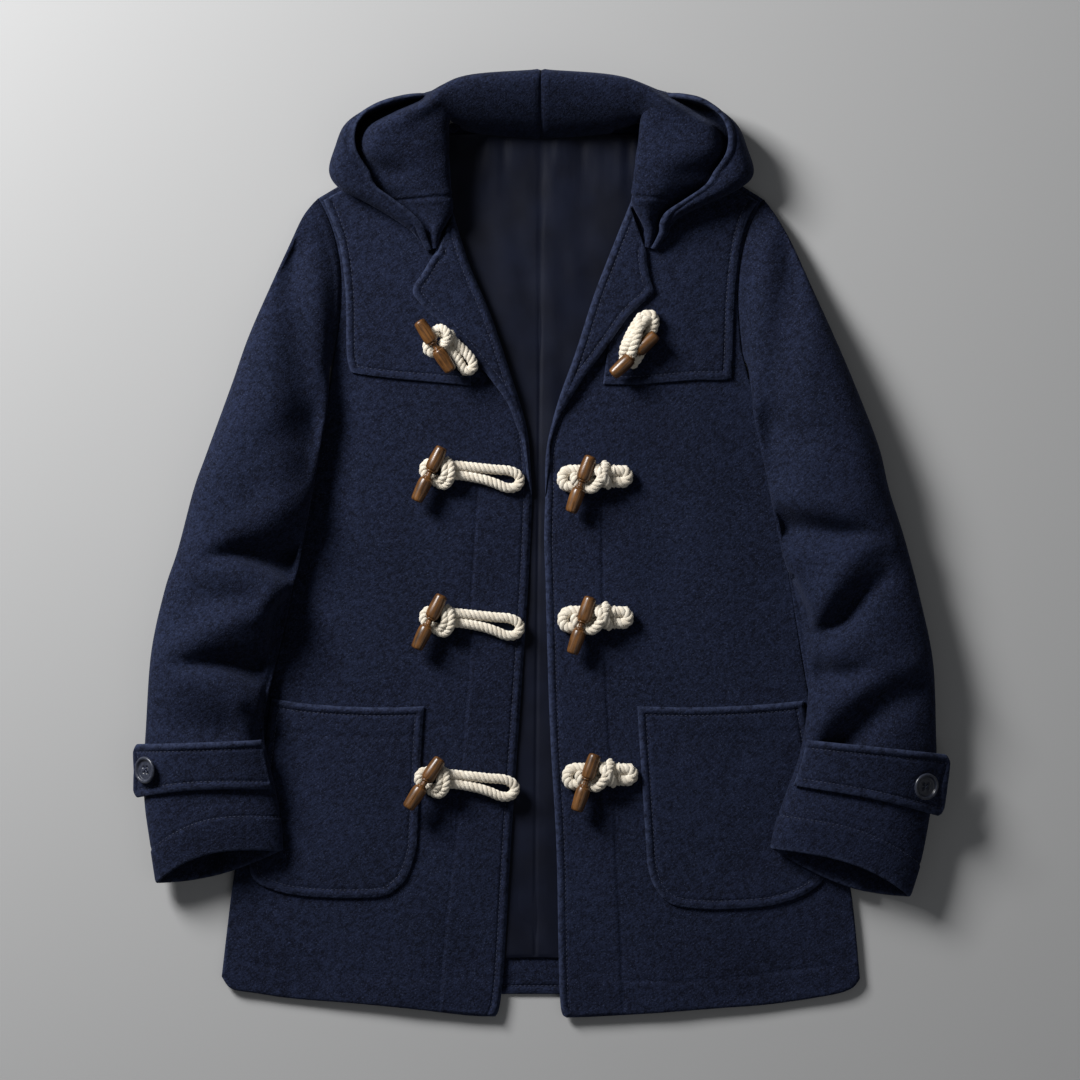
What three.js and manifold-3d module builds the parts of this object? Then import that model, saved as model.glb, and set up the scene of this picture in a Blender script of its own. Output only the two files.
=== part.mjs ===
// Wool duffle coat, laid flat on its back with the front open.
// Millimetres. +Z up from the surface, +Y towards the hood, +X towards the wearer's left.
import * as THREE from 'three';
import { mergeVertices } from 'three/addons/utils/BufferGeometryUtils.js';
import Module from 'manifold-3d';

const wasm = await Module();
wasm.setup();

// Thickness of each cloth piece
const BACK = 2.8;
const LINING = 1;
const FRONT = 3.4;
const YOKE = 2.8;
const POCKET = 2.8;
const LAPEL = 4.6;
const SLEEVE = 3;
const HOOD = 3;
const STRAP = 3.6;

// Gaps between pieces, and how high a front bows over the back
const SEAM = 0.3;
const ARMHOLE_GAP = 1.1;
const DRAPE_GAP = 0.9;
const STRAP_GAP = 1.3;
const HOOD_GAP = 0.5;
const LOFT = 2;
const ON_BACK = BACK + SEAM;
const ON_LINING = ON_BACK + LINING + SEAM;
const ON_YOKE = ON_LINING + LOFT + FRONT + SEAM + YOKE;
const LINING_TUCK = 18;

// Closures
const TOGGLE_HALF = 27;
const ROPE_RADIUS = 4.2;
const KNOT_RADIUS = 3.2;
const BUTTON_RADIUS = 11.5;
const BUTTON_THICKNESS = 3.4;
const BUTTON_HOLE_RADIUS = 1.2;
const BUTTON_HOLE_OFFSET = 2.6;
const BUTTON_ALONG = 0.83;

// Centre of the coat's box in the tables below
const CENTRE_X = 3.6;
const CENTRE_Y = 1.6;

// Plan shape of each side, listed from the top down, or from the front edge outwards
const SIDES = {
  right: {
    shoulder: [-198, 314],
    underarm: [-184, 171],
    sideSeam: [[-191, 123], [-204, 50], [-226, -62], [-243, -135], [-260, -219], [-274, -298],
      [-285, -388]],
    shoulderSeam: [[-82, 379], [-138, 349]],
    neck: [[-82, 379], [-79, 343], [-77, 306]],
    roll: [[-76, 301], [-62, 256], [-43, 211], [-25, 158], [-10, 108], [-6, 68], [-5, 45]],
    edge: [[-7, -9], [-10, -62], [-17, -166], [-24, -270], [-30, -375], [-36, -424]],
    hem: [[-63, -423], [-115, -417], [-167, -412], [-219, -408], [-254, -403]],
    lapelEdge: [[-90, 266], [-102, 249], [-112, 228], [-85, 199], [-55, 166], [-27, 129], [-14, 94],
      [-9, 60]],
    yokeInner: [[-94, 368], [-88, 300], [-84, 268], [-70, 230], [-62, 190], [-60, 145]],
    yokeOuter: [[-193, 312], [-184, 290], [-178, 270], [-173, 226], [-172, 174], [-168, 156]],
    pocketInner: [[-102, -144], [-104, -172], [-108, -256], [-110, -283], [-118, -303]],
    pocketOuter: [[-240, -137], [-247, -190], [-255, -250], [-259, -285], [-252, -302]],
    pocketBottom: [[-132, -315], [-160, -317], [-202, -316], [-236, -310]],
    pocketTop: [[-150, -144], [-205, -143]],
  },
  left: {
    shoulder: [204, 313],
    underarm: [185, 174],
    sideSeam: [[196, 132], [205, 87], [225, -12], [243, -124], [263, -215], [282, -305], [291, -390]],
    shoulderSeam: [[94, 379], [148, 348]],
    neck: [[94, 379], [90, 343], [85, 315]],
    roll: [[83, 308], [66, 266], [50, 224], [35, 177], [18, 129], [8, 87], [7, 45]],
    edge: [[6, 9], [7, -27], [11, -159], [17, -270], [19, -368], [24, -425]],
    hem: [[54, -424], [106, -421], [158, -417], [210, -413], [263, -405]],
    lapelEdge: [[98, 266], [101, 248], [104, 229], [81, 206], [61, 178], [38, 148], [19, 112], [11, 76]],
    yokeInner: [[106, 366], [98, 300], [93, 268], [80, 230], [66, 190], [59, 146]],
    yokeOuter: [[199, 311], [190, 296], [183, 270], [178, 226], [176, 174], [174, 152]],
    pocketInner: [[90, -144], [92, -178], [98, -270], [99, -290], [108, -311]],
    pocketOuter: [[240, -139], [247, -180], [256, -240], [262, -284], [255, -302]],
    pocketBottom: [[124, -324], [158, -327], [200, -325], [236, -316]],
    pocketTop: [[140, -144], [195, -143]],
  },
};

// One row for each ring of a sleeve, from the armhole to the cuff: both ends of the ring, its height,
// and how far its upper and its under edge bow towards the shoulder
const SLEEVE_RINGS = {
  right: [
    { outer: [-198, 314], inner: [-184, 171], crown: 4.8, bow: 14, underBow: 14 },
    { outer: [-210, 297], inner: [-188, 163], crown: 15, bow: 11, underBow: 11 },
    { outer: [-223, 269], inner: [-189, 153], crown: 28, bow: 8, underBow: 8 },
    { outer: [-241, 229], inner: [-189, 142], crown: 39, bow: 4, underBow: 4 },
    { outer: [-259, 187], inner: [-190, 130], crown: 45, bow: 1, underBow: 1 },
    { outer: [-274, 144], inner: [-192, 115], crown: 48, bow: 0, underBow: 0 },
    { outer: [-297, 81], inner: [-203, 53], crown: 49, bow: 0, underBow: 0 },
    { outer: [-308, 50], inner: [-209, 21], crown: 48, bow: 0, underBow: 0 },
    { outer: [-322, -3], inner: [-221, -35], crown: 46, bow: 0, underBow: 0 },
    { outer: [-334, -40], inner: [-239, -64], crown: 48, bow: 0, underBow: 0 },
    { outer: [-346, -96], inner: [-244, -109], crown: 49, bow: 0, underBow: 0 },
    { outer: [-351, -166], inner: [-248, -163], crown: 44, bow: 0, underBow: 0 },
    { outer: [-353, -201], inner: [-242, -199], crown: 41, bow: 2, underBow: 0 },
    { outer: [-352, -233], inner: [-236, -225], crown: 39, bow: 5, underBow: -1 },
    { outer: [-347, -269], inner: [-232, -253], crown: 38, bow: 9, underBow: -4 },
    { outer: [-342, -303], inner: [-231, -274], crown: 35, bow: 14, underBow: -7 },
  ],
  left: [
    { outer: [204, 313], inner: [185, 174], crown: 4.8, bow: 13, underBow: 13 },
    { outer: [214, 297], inner: [190, 165], crown: 15, bow: 11, underBow: 11 },
    { outer: [227, 274], inner: [192, 156], crown: 28, bow: 8, underBow: 8 },
    { outer: [245, 234], inner: [193, 145], crown: 39, bow: 4, underBow: 4 },
    { outer: [264, 192], inner: [195, 133], crown: 45, bow: 1, underBow: 1 },
    { outer: [282, 150], inner: [196, 118], crown: 48, bow: 0, underBow: 0 },
    { outer: [305, 91], inner: [208, 61], crown: 50, bow: 0, underBow: 0 },
    { outer: [315, 50], inner: [215, 25], crown: 50, bow: 0, underBow: 0 },
    { outer: [329, 6], inner: [225, -17], crown: 49.5, bow: 0, underBow: 0 },
    { outer: [342, -44], inner: [244, -60], crown: 50, bow: 0, underBow: 0 },
    { outer: [354, -102], inner: [246, -103], crown: 50.5, bow: 0, underBow: 0 },
    { outer: [357, -166], inner: [243, -155], crown: 49, bow: 0, underBow: 0 },
    { outer: [357, -206], inner: [236, -192], crown: 45, bow: 2, underBow: 0 },
    { outer: [351, -246], inner: [226, -219], crown: 41, bow: 4, underBow: -2 },
    { outer: [344, -282], inner: [216, -249], crown: 40, bow: 7, underBow: -6 },
    { outer: [334, -315], inner: [211, -272], crown: 37, bow: 11, underBow: -10 },
  ],
};

// From this ring on, a sleeve lies over the body's side
const OVER_BODY_RING = 10.5;

// Largest folds of the sleeves: a negative height is a trough
const SLEEVE_FOLDS = {
  right: [
    { from: [-302, -6], to: [-216, 20], width: 13, height: -8 },
    { from: [-330, -95], to: [-236, -58], width: 13, height: 4 },
    { from: [-322, -110], to: [-238, -76], width: 11, height: -9 },
    { from: [-262, -148], to: [-246, -166], width: 8, height: -4 },
  ],
  left: [
    { from: [306, 14], to: [222, 2], width: 15, height: -6 },
    { from: [322, -14], to: [255, -80], width: 14, height: -5 },
    { from: [290, -106], to: [246, -104], width: 10, height: -4 },
    { from: [326, -98], to: [246, -154], width: 13, height: 3 },
    { from: [334, -122], to: [288, -164], width: 12, height: -4.5 },
  ],
};

// One row for each line across the hood, from the centre back to the front neck: where the line leaves
// the neck, and where it ends at the outline
const HOOD_LINES = {
  right: [
    { neck: [2.9, 369], out: [2.9, 427] },
    { neck: [-52, 373], out: [-59, 423] },
    { neck: [-73, 381], out: [-87, 413] },
    { neck: [-79, 386], out: [-114, 405] },
    { neck: [-81, 376], out: [-149, 395] },
    { neck: [-81, 364], out: [-173, 380] },
    { neck: [-81, 352], out: [-183, 359] },
    { neck: [-81, 341], out: [-188, 337] },
    { neck: [-80, 328], out: [-178, 322] },
    { neck: [-78, 315], out: [-156, 311] },
    { neck: [-77, 303], out: [-133, 298] },
    { neck: [-81, 293], out: [-117, 287] },
    { neck: [-87, 283], out: [-109, 279] },
  ],
  left: [
    { neck: [3.4, 369], out: [3.4, 427] },
    { neck: [62, 373], out: [65, 423] },
    { neck: [88, 381], out: [97, 414] },
    { neck: [94, 387], out: [132, 405] },
    { neck: [93, 376], out: [158, 396] },
    { neck: [92, 364], out: [180, 379] },
    { neck: [90, 352], out: [190, 357] },
    { neck: [89, 341], out: [195, 336] },
    { neck: [87, 328], out: [183, 323] },
    { neck: [86, 315], out: [157, 311] },
    { neck: [88, 304], out: [131, 299] },
    { neck: [93, 294], out: [120, 289] },
    { neck: [97, 284], out: [117, 281] },
  ],
};

// Height of the hood's cloth along such a line, at the line numbers given. Each pair is the share of the
// way out, then the height
const HOOD_PROFILES = [
  { line: 0, seam: [0, 5.2], rise: [0.12, 20], roll: [0.3, 33], slope: [0.6, 47], ridge: [0.88, 54],
    valley: [0.985, 46], fold: [0.985, 22], side: [0.93, 6], top: [0.75, 1.8], rim: [0.5, 1.7] },
  { line: 2, seam: [0.02, 5.2], rise: [0.06, 22], roll: [0.2, 36], slope: [0.5, 46], ridge: [0.82, 51],
    valley: [0.96, 44], fold: [0.97, 24], side: [0.95, 9], top: [0.8, 2.4], rim: [0.6, 2.2] },
  { line: 4, seam: [0.1, 14], rise: [0, 26], roll: [0.05, 38], slope: [0.3, 44], ridge: [0.64, 45],
    valley: [0.8, 14], fold: [0.92, 6], side: [0.97, 14], top: [0.98, 28], rim: [0.96, 38] },
  { line: 6, seam: [0.08, 14], rise: [0, 26], roll: [0.04, 36], slope: [0.3, 44], ridge: [0.62, 42],
    valley: [0.8, 20], fold: [0.93, 11], side: [0.98, 24], top: [0.93, 38], rim: [0.8, 42] },
  { line: 7, seam: [0.07, 15], rise: [0, 26], roll: [0.04, 36], slope: [0.25, 40], ridge: [0.46, 34],
    valley: [0.72, 22], fold: [0.93, 16], side: [0.98, 26], top: [0.88, 38], rim: [0.66, 37] },
  { line: 9, seam: [0.08, 13], rise: [0, 24], roll: [0.05, 31], slope: [0.22, 33], ridge: [0.4, 28],
    valley: [0.66, 17], fold: [0.91, 14], side: [0.98, 25], top: [0.86, 33], rim: [0.66, 32] },
  { line: 12, seam: [0.2, 13], rise: [0.04, 17], roll: [0.12, 21], slope: [0.28, 21.5], ridge: [0.42, 18],
    valley: [0.62, 13.4], fold: [0.86, 13], side: [0.96, 18], top: [0.82, 23], rim: [0.6, 24] },
];
const PROFILE_STEPS = ['seam', 'rise', 'roll', 'slope', 'ridge', 'valley', 'fold', 'side', 'top', 'rim'];

// Where the hood ends and its gusset begins, and half the gap between them, in lines
const GUSSET_LINE = 9;
const GUSSET_GAP = 0.04;

// Toggles by their ends, and the middle line of the rope under each, from the toggle outwards.
// lift is what the rope lies on above the front, and over how high the toggle's axis is above the rope's
const CLOSURES = {
  right: [
    { ends: [[-107, 203], [-77, 157]], spine: [[-95, 178], [-80, 187], [-66, 176], [-61, 164]],
      lift: YOKE + LAPEL + 2 * SEAM, over: 8.3 },
    { ends: [[-86, 89], [-109, 41]], spine: [[-101, 66], [-75, 66], [-45, 63], [-18, 61]],
      lift: 0, over: 9.0 },
    { ends: [[-86, -44], [-109, -92]], spine: [[-102, -66], [-75, -63], [-47, -64], [-20, -66]],
      lift: 0, over: 9.9 },
    { ends: [[-86, -189], [-118, -237]], spine: [[-105, -211], [-78, -206], [-50, -207], [-25, -208]],
      lift: POCKET + SEAM, over: 10.3 },
  ],
  left: [
    { ends: [[108, 192], [66, 153]], spine: [[88, 171], [80, 184], [88, 195], [101, 205]],
      lift: YOKE + SEAM, over: 8.4 },
    { ends: [[48, 81], [30, 31]], spine: [[22, 61], [39, 58], [58, 60], [78, 61]],
      lift: 0, over: 9.5 },
    { ends: [[48, -45], [31, -97]], spine: [[20, -66], [39, -69], [58, -67], [78, -66]],
      lift: 0, over: 9.5 },
    { ends: [[52, -187], [35, -238]], spine: [[23, -207], [43, -211], [60, -208], [81, -207]],
      lift: 0, over: 9.5 },
  ],
};
// Half the distance between a rope's two strands, at four places along it
const STRAND_SPREAD = {
  right: [4.7, 4.7, 6, 6.4],
  left: [7, 4.7, 6.6, 5.4],
};

const STRAPS = {
  right: { rings: [11.4, 12.75], turnShare: 0.05, overhang: 17, slope: 42 },
  left: { rings: [11.45, 12.85], turnShare: 0.09, overhang: 24, slope: 27 },
};

const COLOURS = {
  wool: new THREE.MeshStandardMaterial({ color: 0x1b2340, roughness: 0.95, metalness: 0 }),
  lining: new THREE.MeshStandardMaterial({ color: 0x141a33, roughness: 0.6, metalness: 0 }),
  rope: new THREE.MeshStandardMaterial({ color: 0xe0d6c2, roughness: 0.9, metalness: 0 }),
  toggle: new THREE.MeshStandardMaterial({ color: 0x5a3519, roughness: 0.35, metalness: 0 }),
  button: new THREE.MeshStandardMaterial({ color: 0x14161f, roughness: 0.3, metalness: 0 }),
};

const clamp = THREE.MathUtils.clamp;
const mix = THREE.MathUtils.lerp;
const between = (a, b, share) => [mix(a[0], b[0], share), mix(a[1], b[1], share)];

// Smooth step from 0 at one value to 1 at another, rising or falling
function smoothstep(from, to, value) {
  const t = clamp((value - from) / (to - from), 0, 1);
  return t * t * (3 - 2 * t);
}

// Value of a smooth line through evenly spaced values, at a position counted in values
function smooth(values, position) {
  const last = values.length - 1;
  const start = clamp(Math.floor(position), 0, last - 1);
  const t = position - start;
  const value = (offset) => values[clamp(start + offset, 0, last)];
  const [a, b, c, d] = [value(-1), value(0), value(1), value(2)];
  const square = 2 * a - 5 * b + 4 * c - d;
  const cube = 3 * b - a - 3 * c + d;
  return 0.5 * (2 * b + (c - a) * t + square * t * t + cube * t * t * t);
}

// x of a line listed from the top down, at a given y
function lineX(points, y) {
  if (y >= points[0][1]) return points[0][0];
  for (let i = 1; i < points.length; i += 1) {
    const [x0, y0] = points[i - 1];
    const [x1, y1] = points[i];
    if (y >= y1) return mix(x1, x0, (y - y1) / (y0 - y1));
  }
  return points[points.length - 1][0];
}

function spline(points) {
  return new THREE.SplineCurve(points.map(([x, y]) => new THREE.Vector2(x, y)));
}

// Grid of plan points inside four edges, two of them running down and two across
function patch({ start, finish, top, bottom }, rows, columns) {
  const curves = [start, finish, top, bottom].map(spline);
  const grid = [];
  for (let i = 0; i <= rows; i += 1) {
    const v = i / rows;
    const row = [];
    for (let j = 0; j <= columns; j += 1) {
      const u = j / columns;
      const [a, b] = [curves[0].getPointAt(v), curves[1].getPointAt(v)];
      const [c, d] = [curves[2].getPointAt(u), curves[3].getPointAt(u)];
      const across = a.clone().lerp(b, u);
      const down = c.clone().lerp(d, v);
      const head = curves[2].getPointAt(0).lerp(curves[2].getPointAt(1), u);
      const foot = curves[3].getPointAt(0).lerp(curves[3].getPointAt(1), u);
      row.push(across.add(down).sub(head.lerp(foot, v)));
    }
    grid.push(row);
  }
  return grid;
}

function signedVolume(points, faces) {
  let volume = 0;
  const [a, b, c] = [new THREE.Vector3(), new THREE.Vector3(), new THREE.Vector3()];
  for (let i = 0; i < faces.length; i += 3) {
    a.fromArray(points, faces[i] * 3);
    b.fromArray(points, faces[i + 1] * 3);
    c.fromArray(points, faces[i + 2] * 3);
    volume += a.dot(b.cross(c)) / 6;
  }
  return volume;
}

// Closed wall between an outer and an inner grid of points
function wall(outer, inner) {
  const rows = outer.length - 1;
  const columns = outer[0].length - 1;
  const points = [];
  [outer, inner].flat(2).forEach((point) => points.push(point.x, point.y, Math.max(point.z, 0)));
  const at = (layer, i, j) => (layer * (rows + 1) + i) * (columns + 1) + j;
  const faces = [];
  const quad = (a, b, c, d) => faces.push(a, b, c, a, c, d);
  for (let i = 0; i < rows; i += 1) {
    for (let j = 0; j < columns; j += 1) {
      quad(at(0, i, j), at(0, i + 1, j), at(0, i + 1, j + 1), at(0, i, j + 1));
      quad(at(1, i, j), at(1, i, j + 1), at(1, i + 1, j + 1), at(1, i + 1, j));
    }
    quad(at(1, i, 0), at(1, i + 1, 0), at(0, i + 1, 0), at(0, i, 0));
    quad(at(0, i, columns), at(0, i + 1, columns), at(1, i + 1, columns), at(1, i, columns));
  }
  for (let j = 0; j < columns; j += 1) {
    quad(at(0, 0, j), at(0, 0, j + 1), at(1, 0, j + 1), at(1, 0, j));
    quad(at(1, rows, j), at(1, rows, j + 1), at(0, rows, j + 1), at(0, rows, j));
  }
  if (signedVolume(points, faces) < 0) faces.reverse();
  const geometry = new THREE.BufferGeometry();
  geometry.setAttribute('position', new THREE.Float32BufferAttribute(points, 3));
  geometry.setIndex(faces);
  geometry.computeVertexNormals();
  return geometry;
}

// Flat-lying cloth: a plan grid raised to a height, with its thickness above
function sheet(grid, bottom, thickness) {
  const raise = (extra) => grid.map((row) => row.map(
    ({ x, y }) => new THREE.Vector3(x, y, bottom(x, y) + extra),
  ));
  return wall(raise(thickness), raise(0));
}

// Bent cloth: a grid of points on its middle surface, moved out and in along the surface's normal
function bent(grid, thickness, edgeNormal) {
  const rows = grid.length - 1;
  const columns = grid[0].length - 1;
  const move = (i, j, amount) => {
    const given = edgeNormal && edgeNormal(i, j);
    const along = grid[Math.min(i + 1, rows)][j].clone().sub(grid[Math.max(i - 1, 0)][j]);
    const across = grid[i][Math.min(j + 1, columns)].clone().sub(grid[i][Math.max(j - 1, 0)]);
    const normal = given || along.cross(across).normalize();
    return grid[i][j].clone().addScaledVector(normal, amount);
  };
  const layer = (amount) => grid.map((row, i) => row.map((point, j) => move(i, j, amount)));
  return wall(layer(thickness / 2), layer(-thickness / 2));
}

// Armhole seam from the shoulder to the underarm
function armhole(side, share) {
  const { shoulder, underarm } = SIDES[side];
  return bowed(shoulder, underarm, share, SLEEVE_RINGS[side][0].bow, side);
}

// Point between two ends, bowed towards the shoulder
function bowed(outer, inner, share, bow, side) {
  const [x, y] = between(outer, inner, share);
  const chord = new THREE.Vector2(inner[0] - outer[0], inner[1] - outer[1]).normalize();
  const turn = side === 'right' ? 1 : -1;
  const amount = bow * Math.sin(Math.PI * share ** 0.85);
  return [x - chord.y * turn * amount, y + chord.x * turn * amount];
}

function outerEdge(side) {
  const points = [];
  for (let step = 0; step <= 8; step += 1) points.push(armhole(side, step / 8));
  return [...points, ...SIDES[side].sideSeam];
}

function frontEdge(side) {
  const { neck, roll, edge } = SIDES[side];
  return [...neck, ...roll, ...edge];
}

// Underside of a front: on the lining at the front edge, on the back at the side seam, bowed between
function frontBottom(side, x, y) {
  const front = lineX(FRONT_EDGES[side], y);
  const outer = lineX(OUTER_EDGES[side], y);
  const share = clamp((x - front) / (outer - front), 0, 1);
  const level = mix(ON_LINING, ON_BACK, smoothstep(0.5, 0.9, share));
  const fade = smoothstep(-420, -300, y) * smoothstep(370, 300, y);
  return level + LOFT * Math.sin(Math.PI * share) ** 0.8 * fade;
}

const OUTER_EDGES = { right: outerEdge('right'), left: outerEdge('left') };
const FRONT_EDGES = { right: frontEdge('right'), left: frontEdge('left') };
const frontTop = (side, x, y) => frontBottom(side, x, y) + FRONT;

// What a piece that lies over the body's side rests on, rising smoothly from the surface
function sideSupport(side, x, y) {
  const seam = Math.abs(lineX(OUTER_EDGES[side], y));
  const onBody = smoothstep(seam + 20, seam + 8, Math.abs(x));
  const beside = smoothstep(84, 92, Math.abs(x));
  const onPocket = smoothstep(-120, -130, y) * smoothstep(-336, -326, y) * beside;
  return onBody * (frontTop(side, x, y) + onPocket * (POCKET + SEAM));
}

// What the hood rests on: the shoulders with their yokes, then the surface beyond the shoulder seam
function shoulderSupport(side, x, y) {
  const { shoulderSeam, shoulder } = SIDES[side];
  const seam = [...shoulderSeam, shoulder];
  const reach = clamp(Math.abs(x), Math.abs(seam[0][0]), Math.abs(shoulder[0]));
  const ends = Math.abs(seam[1][0]) > reach ? [seam[0], seam[1]] : [seam[1], seam[2]];
  const share = (reach - Math.abs(ends[0][0])) / (Math.abs(ends[1][0]) - Math.abs(ends[0][0]));
  const seamY = mix(ends[0][1], ends[1][1], share);
  const top = Math.abs(x) > 70 ? ON_YOKE : ON_BACK;
  return top * smoothstep(seamY + 14, seamY + 4, y);
}

function back() {
  const edges = {
    start: OUTER_EDGES.right,
    finish: OUTER_EDGES.left,
    top: [SIDES.right.shoulder, SIDES.right.shoulderSeam[1], [-82, 381], [3, 377], [94, 381],
      SIDES.left.shoulderSeam[1], SIDES.left.shoulder],
    bottom: [[-285, -388], [-219, -400], [-115, -404], [3, -404], [120, -405], [220, -402], [291, -390]],
  };
  return sheet(patch(edges, 26, 4), () => 0, BACK);
}

function backLining() {
  const tuck = (side, y, outward) => [lineX(FRONT_EDGES[side], y) + outward * LINING_TUCK, y];
  const rows = [372, 340, 300, 250, 190, 120, 40, -80, -200, -300, -388];
  const edges = {
    start: rows.map((y) => tuck('right', y, -1)),
    finish: rows.map((y) => tuck('left', y, 1)),
  };
  edges.top = [edges.start[0], [3, 373], edges.finish[0]];
  edges.bottom = [edges.start.at(-1), [3, -387], edges.finish.at(-1)];
  return sheet(patch(edges, 13, 3), () => ON_BACK, LINING);
}

function front(side) {
  const { shoulderSeam, shoulder, hem } = SIDES[side];
  const edges = {
    start: FRONT_EDGES[side],
    finish: OUTER_EDGES[side],
    top: [...shoulderSeam, shoulder],
    bottom: [FRONT_EDGES[side].at(-1), ...hem, OUTER_EDGES[side].at(-1)],
  };
  return sheet(patch(edges, 27, 7), (x, y) => frontBottom(side, x, y), FRONT);
}

function yoke(side) {
  const { yokeInner, yokeOuter } = SIDES[side];
  const edges = {
    start: yokeInner,
    finish: yokeOuter,
    top: [yokeInner[0], yokeOuter[0]],
    bottom: [yokeInner.at(-1), yokeOuter.at(-1)],
  };
  return sheet(patch(edges, 8, 5), (x, y) => frontTop(side, x, y) + SEAM, YOKE);
}

function lapel(side) {
  const { lapelEdge, roll } = SIDES[side];
  const edges = {
    start: lapelEdge,
    finish: roll,
    top: [lapelEdge[0], roll[0]],
    bottom: [lapelEdge.at(-1), roll.at(-1)],
  };
  const level = (x, y) => frontTop(side, x, y) + SEAM + (YOKE + SEAM) * smoothstep(118, 142, y);
  return sheet(patch(edges, 14, 3), level, LAPEL);
}

function pocket(side) {
  const { pocketInner, pocketOuter, pocketBottom, pocketTop } = SIDES[side];
  const edges = {
    start: pocketInner,
    finish: pocketOuter,
    top: [pocketInner[0], ...pocketTop, pocketOuter[0]],
    bottom: [pocketInner.at(-1), ...pocketBottom, pocketOuter.at(-1)],
  };
  return sheet(patch(edges, 7, 7), (x, y) => frontTop(side, x, y) + SEAM, POCKET);
}

function foldHeight(folds, x, y) {
  const point = new THREE.Vector3(x, y, 0);
  const nearest = new THREE.Vector3();
  return folds.reduce((sum, { from, to, width, height }) => {
    const line = new THREE.Line3(new THREE.Vector3(...from, 0), new THREE.Vector3(...to, 0));
    line.closestPointToPoint(point, true, nearest);
    return sum + height * Math.exp(-((nearest.distanceTo(point) / width) ** 2));
  }, 0);
}

// Middle surface of a sleeve's upper or under half. ring is counted in table rows and share runs from
// the outer edge to the inner edge
function sleevePoint(side, half, ring, share) {
  const value = (read) => smooth(SLEEVE_RINGS[side].map(read), ring);
  const outer = [value((row) => row.outer[0]), value((row) => row.outer[1])];
  const inner = [value((row) => row.inner[0]), value((row) => row.inner[1])];
  const bow = value((row) => (half === 'upper' ? row.bow : row.underBow));
  const [bowedX, y] = bowed(outer, inner, share, bow, side);
  const x = bowedX + Math.sign(bowedX) * ARMHOLE_GAP * clamp(1 - ring, 0, 1);
  const crown = value((row) => row.crown);
  const width = Math.hypot(inner[0] - outer[0], inner[1] - outer[1]);
  const round = smoothstep(6, 26, crown);
  const onBody = smoothstep(OVER_BODY_RING - 1.5, OVER_BODY_RING, ring);
  const rest = (atX, atY) => {
    const support = sideSupport(side, atX, atY);
    return support > 0 ? support + DRAPE_GAP : 0;
  };
  const floor = SLEEVE / 2 + onBody * rest(x, y);
  const ends = [outer, inner].map(([endX, endY]) => (
    Math.max((crown + SLEEVE / 2) / 2, onBody * (rest(endX, endY) + SLEEVE * 1.5))
  ));
  const middle = mix(ends[0], ends[1], share);
  const fromEdge = Math.min(share, 1 - share) * width;
  const reach = (half === 'upper' ? 0.49 : 0.3) * width;
  const arc = Math.sqrt(1 - clamp(1 - fromEdge / reach, 0, 1) ** 2);
  if (half === 'upper') {
    const top = crown + foldHeight(SLEEVE_FOLDS[side], x, y) * round;
    return new THREE.Vector3(x, y, mix(crown, mix(middle, top, arc), round) + SEAM * 0.7 * round);
  }
  return new THREE.Vector3(x, y, mix(SLEEVE / 2, mix(middle, floor, arc), round) - SEAM * 0.7 * round);
}

function sleeveHalf(side, half, rings, columns) {
  const lastRing = SLEEVE_RINGS[side].length - 1;
  const grid = [];
  for (let i = 0; i <= rings; i += 1) {
    const row = [];
    for (let j = 0; j <= columns; j += 1) {
      const share = (1 - Math.cos((Math.PI * j) / columns)) / 2;
      row.push(sleevePoint(side, half, (lastRing * i) / rings, share));
    }
    grid.push(row);
  }
  const vertical = new THREE.Vector3(0, 0, half === 'upper' ? 1 : -1);
  const edgeNormal = (i, j) => {
    if (i === 0) return vertical.clone();
    if (j > 0 && j < columns) return null;
    const crown = smooth(SLEEVE_RINGS[side].map((row) => row.crown), (lastRing * i) / rings);
    const outward = grid[i][0].clone().sub(grid[i][columns]).setZ(0).normalize();
    if (j === columns) outward.negate();
    return vertical.clone().lerp(outward, smoothstep(6, 26, crown)).normalize();
  };
  const flips = (side === 'right') === (half === 'upper');
  const upward = (i, j) => {
    const given = edgeNormal(i, j);
    return given && (flips ? given : given.negate());
  };
  return bent(grid, SLEEVE, upward);
}

// Strap over the sleeve, its free end standing out past the sleeve's outer edge
function strapPoint(side, across, along) {
  const { rings, turnShare, overhang, slope } = STRAPS[side];
  const ring = mix(rings[0], rings[1], across);
  const share = mix(0.96, turnShare, Math.min(along / 0.8, 1));
  const point = sleevePoint(side, 'upper', ring, share);
  const step = 0.02;
  const near = (moreRing, moreShare) => sleevePoint(side, 'upper', ring + moreRing, share + moreShare);
  const ahead = near(0, step).sub(near(0, -step));
  const down = near(step, 0).sub(near(-step, 0));
  const normal = ahead.clone().cross(down).normalize();
  if (normal.z < 0) normal.negate();
  point.addScaledVector(normal, SLEEVE / 2 + STRAP_GAP + STRAP / 2);
  const past = clamp((along - 0.8) / 0.2, 0, 1) * overhang;
  const angle = THREE.MathUtils.degToRad(slope);
  const outward = ahead.clone().negate().setZ(0).normalize();
  point.addScaledVector(outward, past * Math.cos(angle));
  point.z -= past * Math.sin(angle);
  return point;
}

function strap(side) {
  const [rows, columns] = [3, 12];
  const grid = [];
  for (let i = 0; i <= rows; i += 1) {
    const row = [];
    for (let j = 0; j <= columns; j += 1) row.push(strapPoint(side, i / rows, j / columns));
    grid.push(row);
  }
  return bent(grid, STRAP);
}

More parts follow.
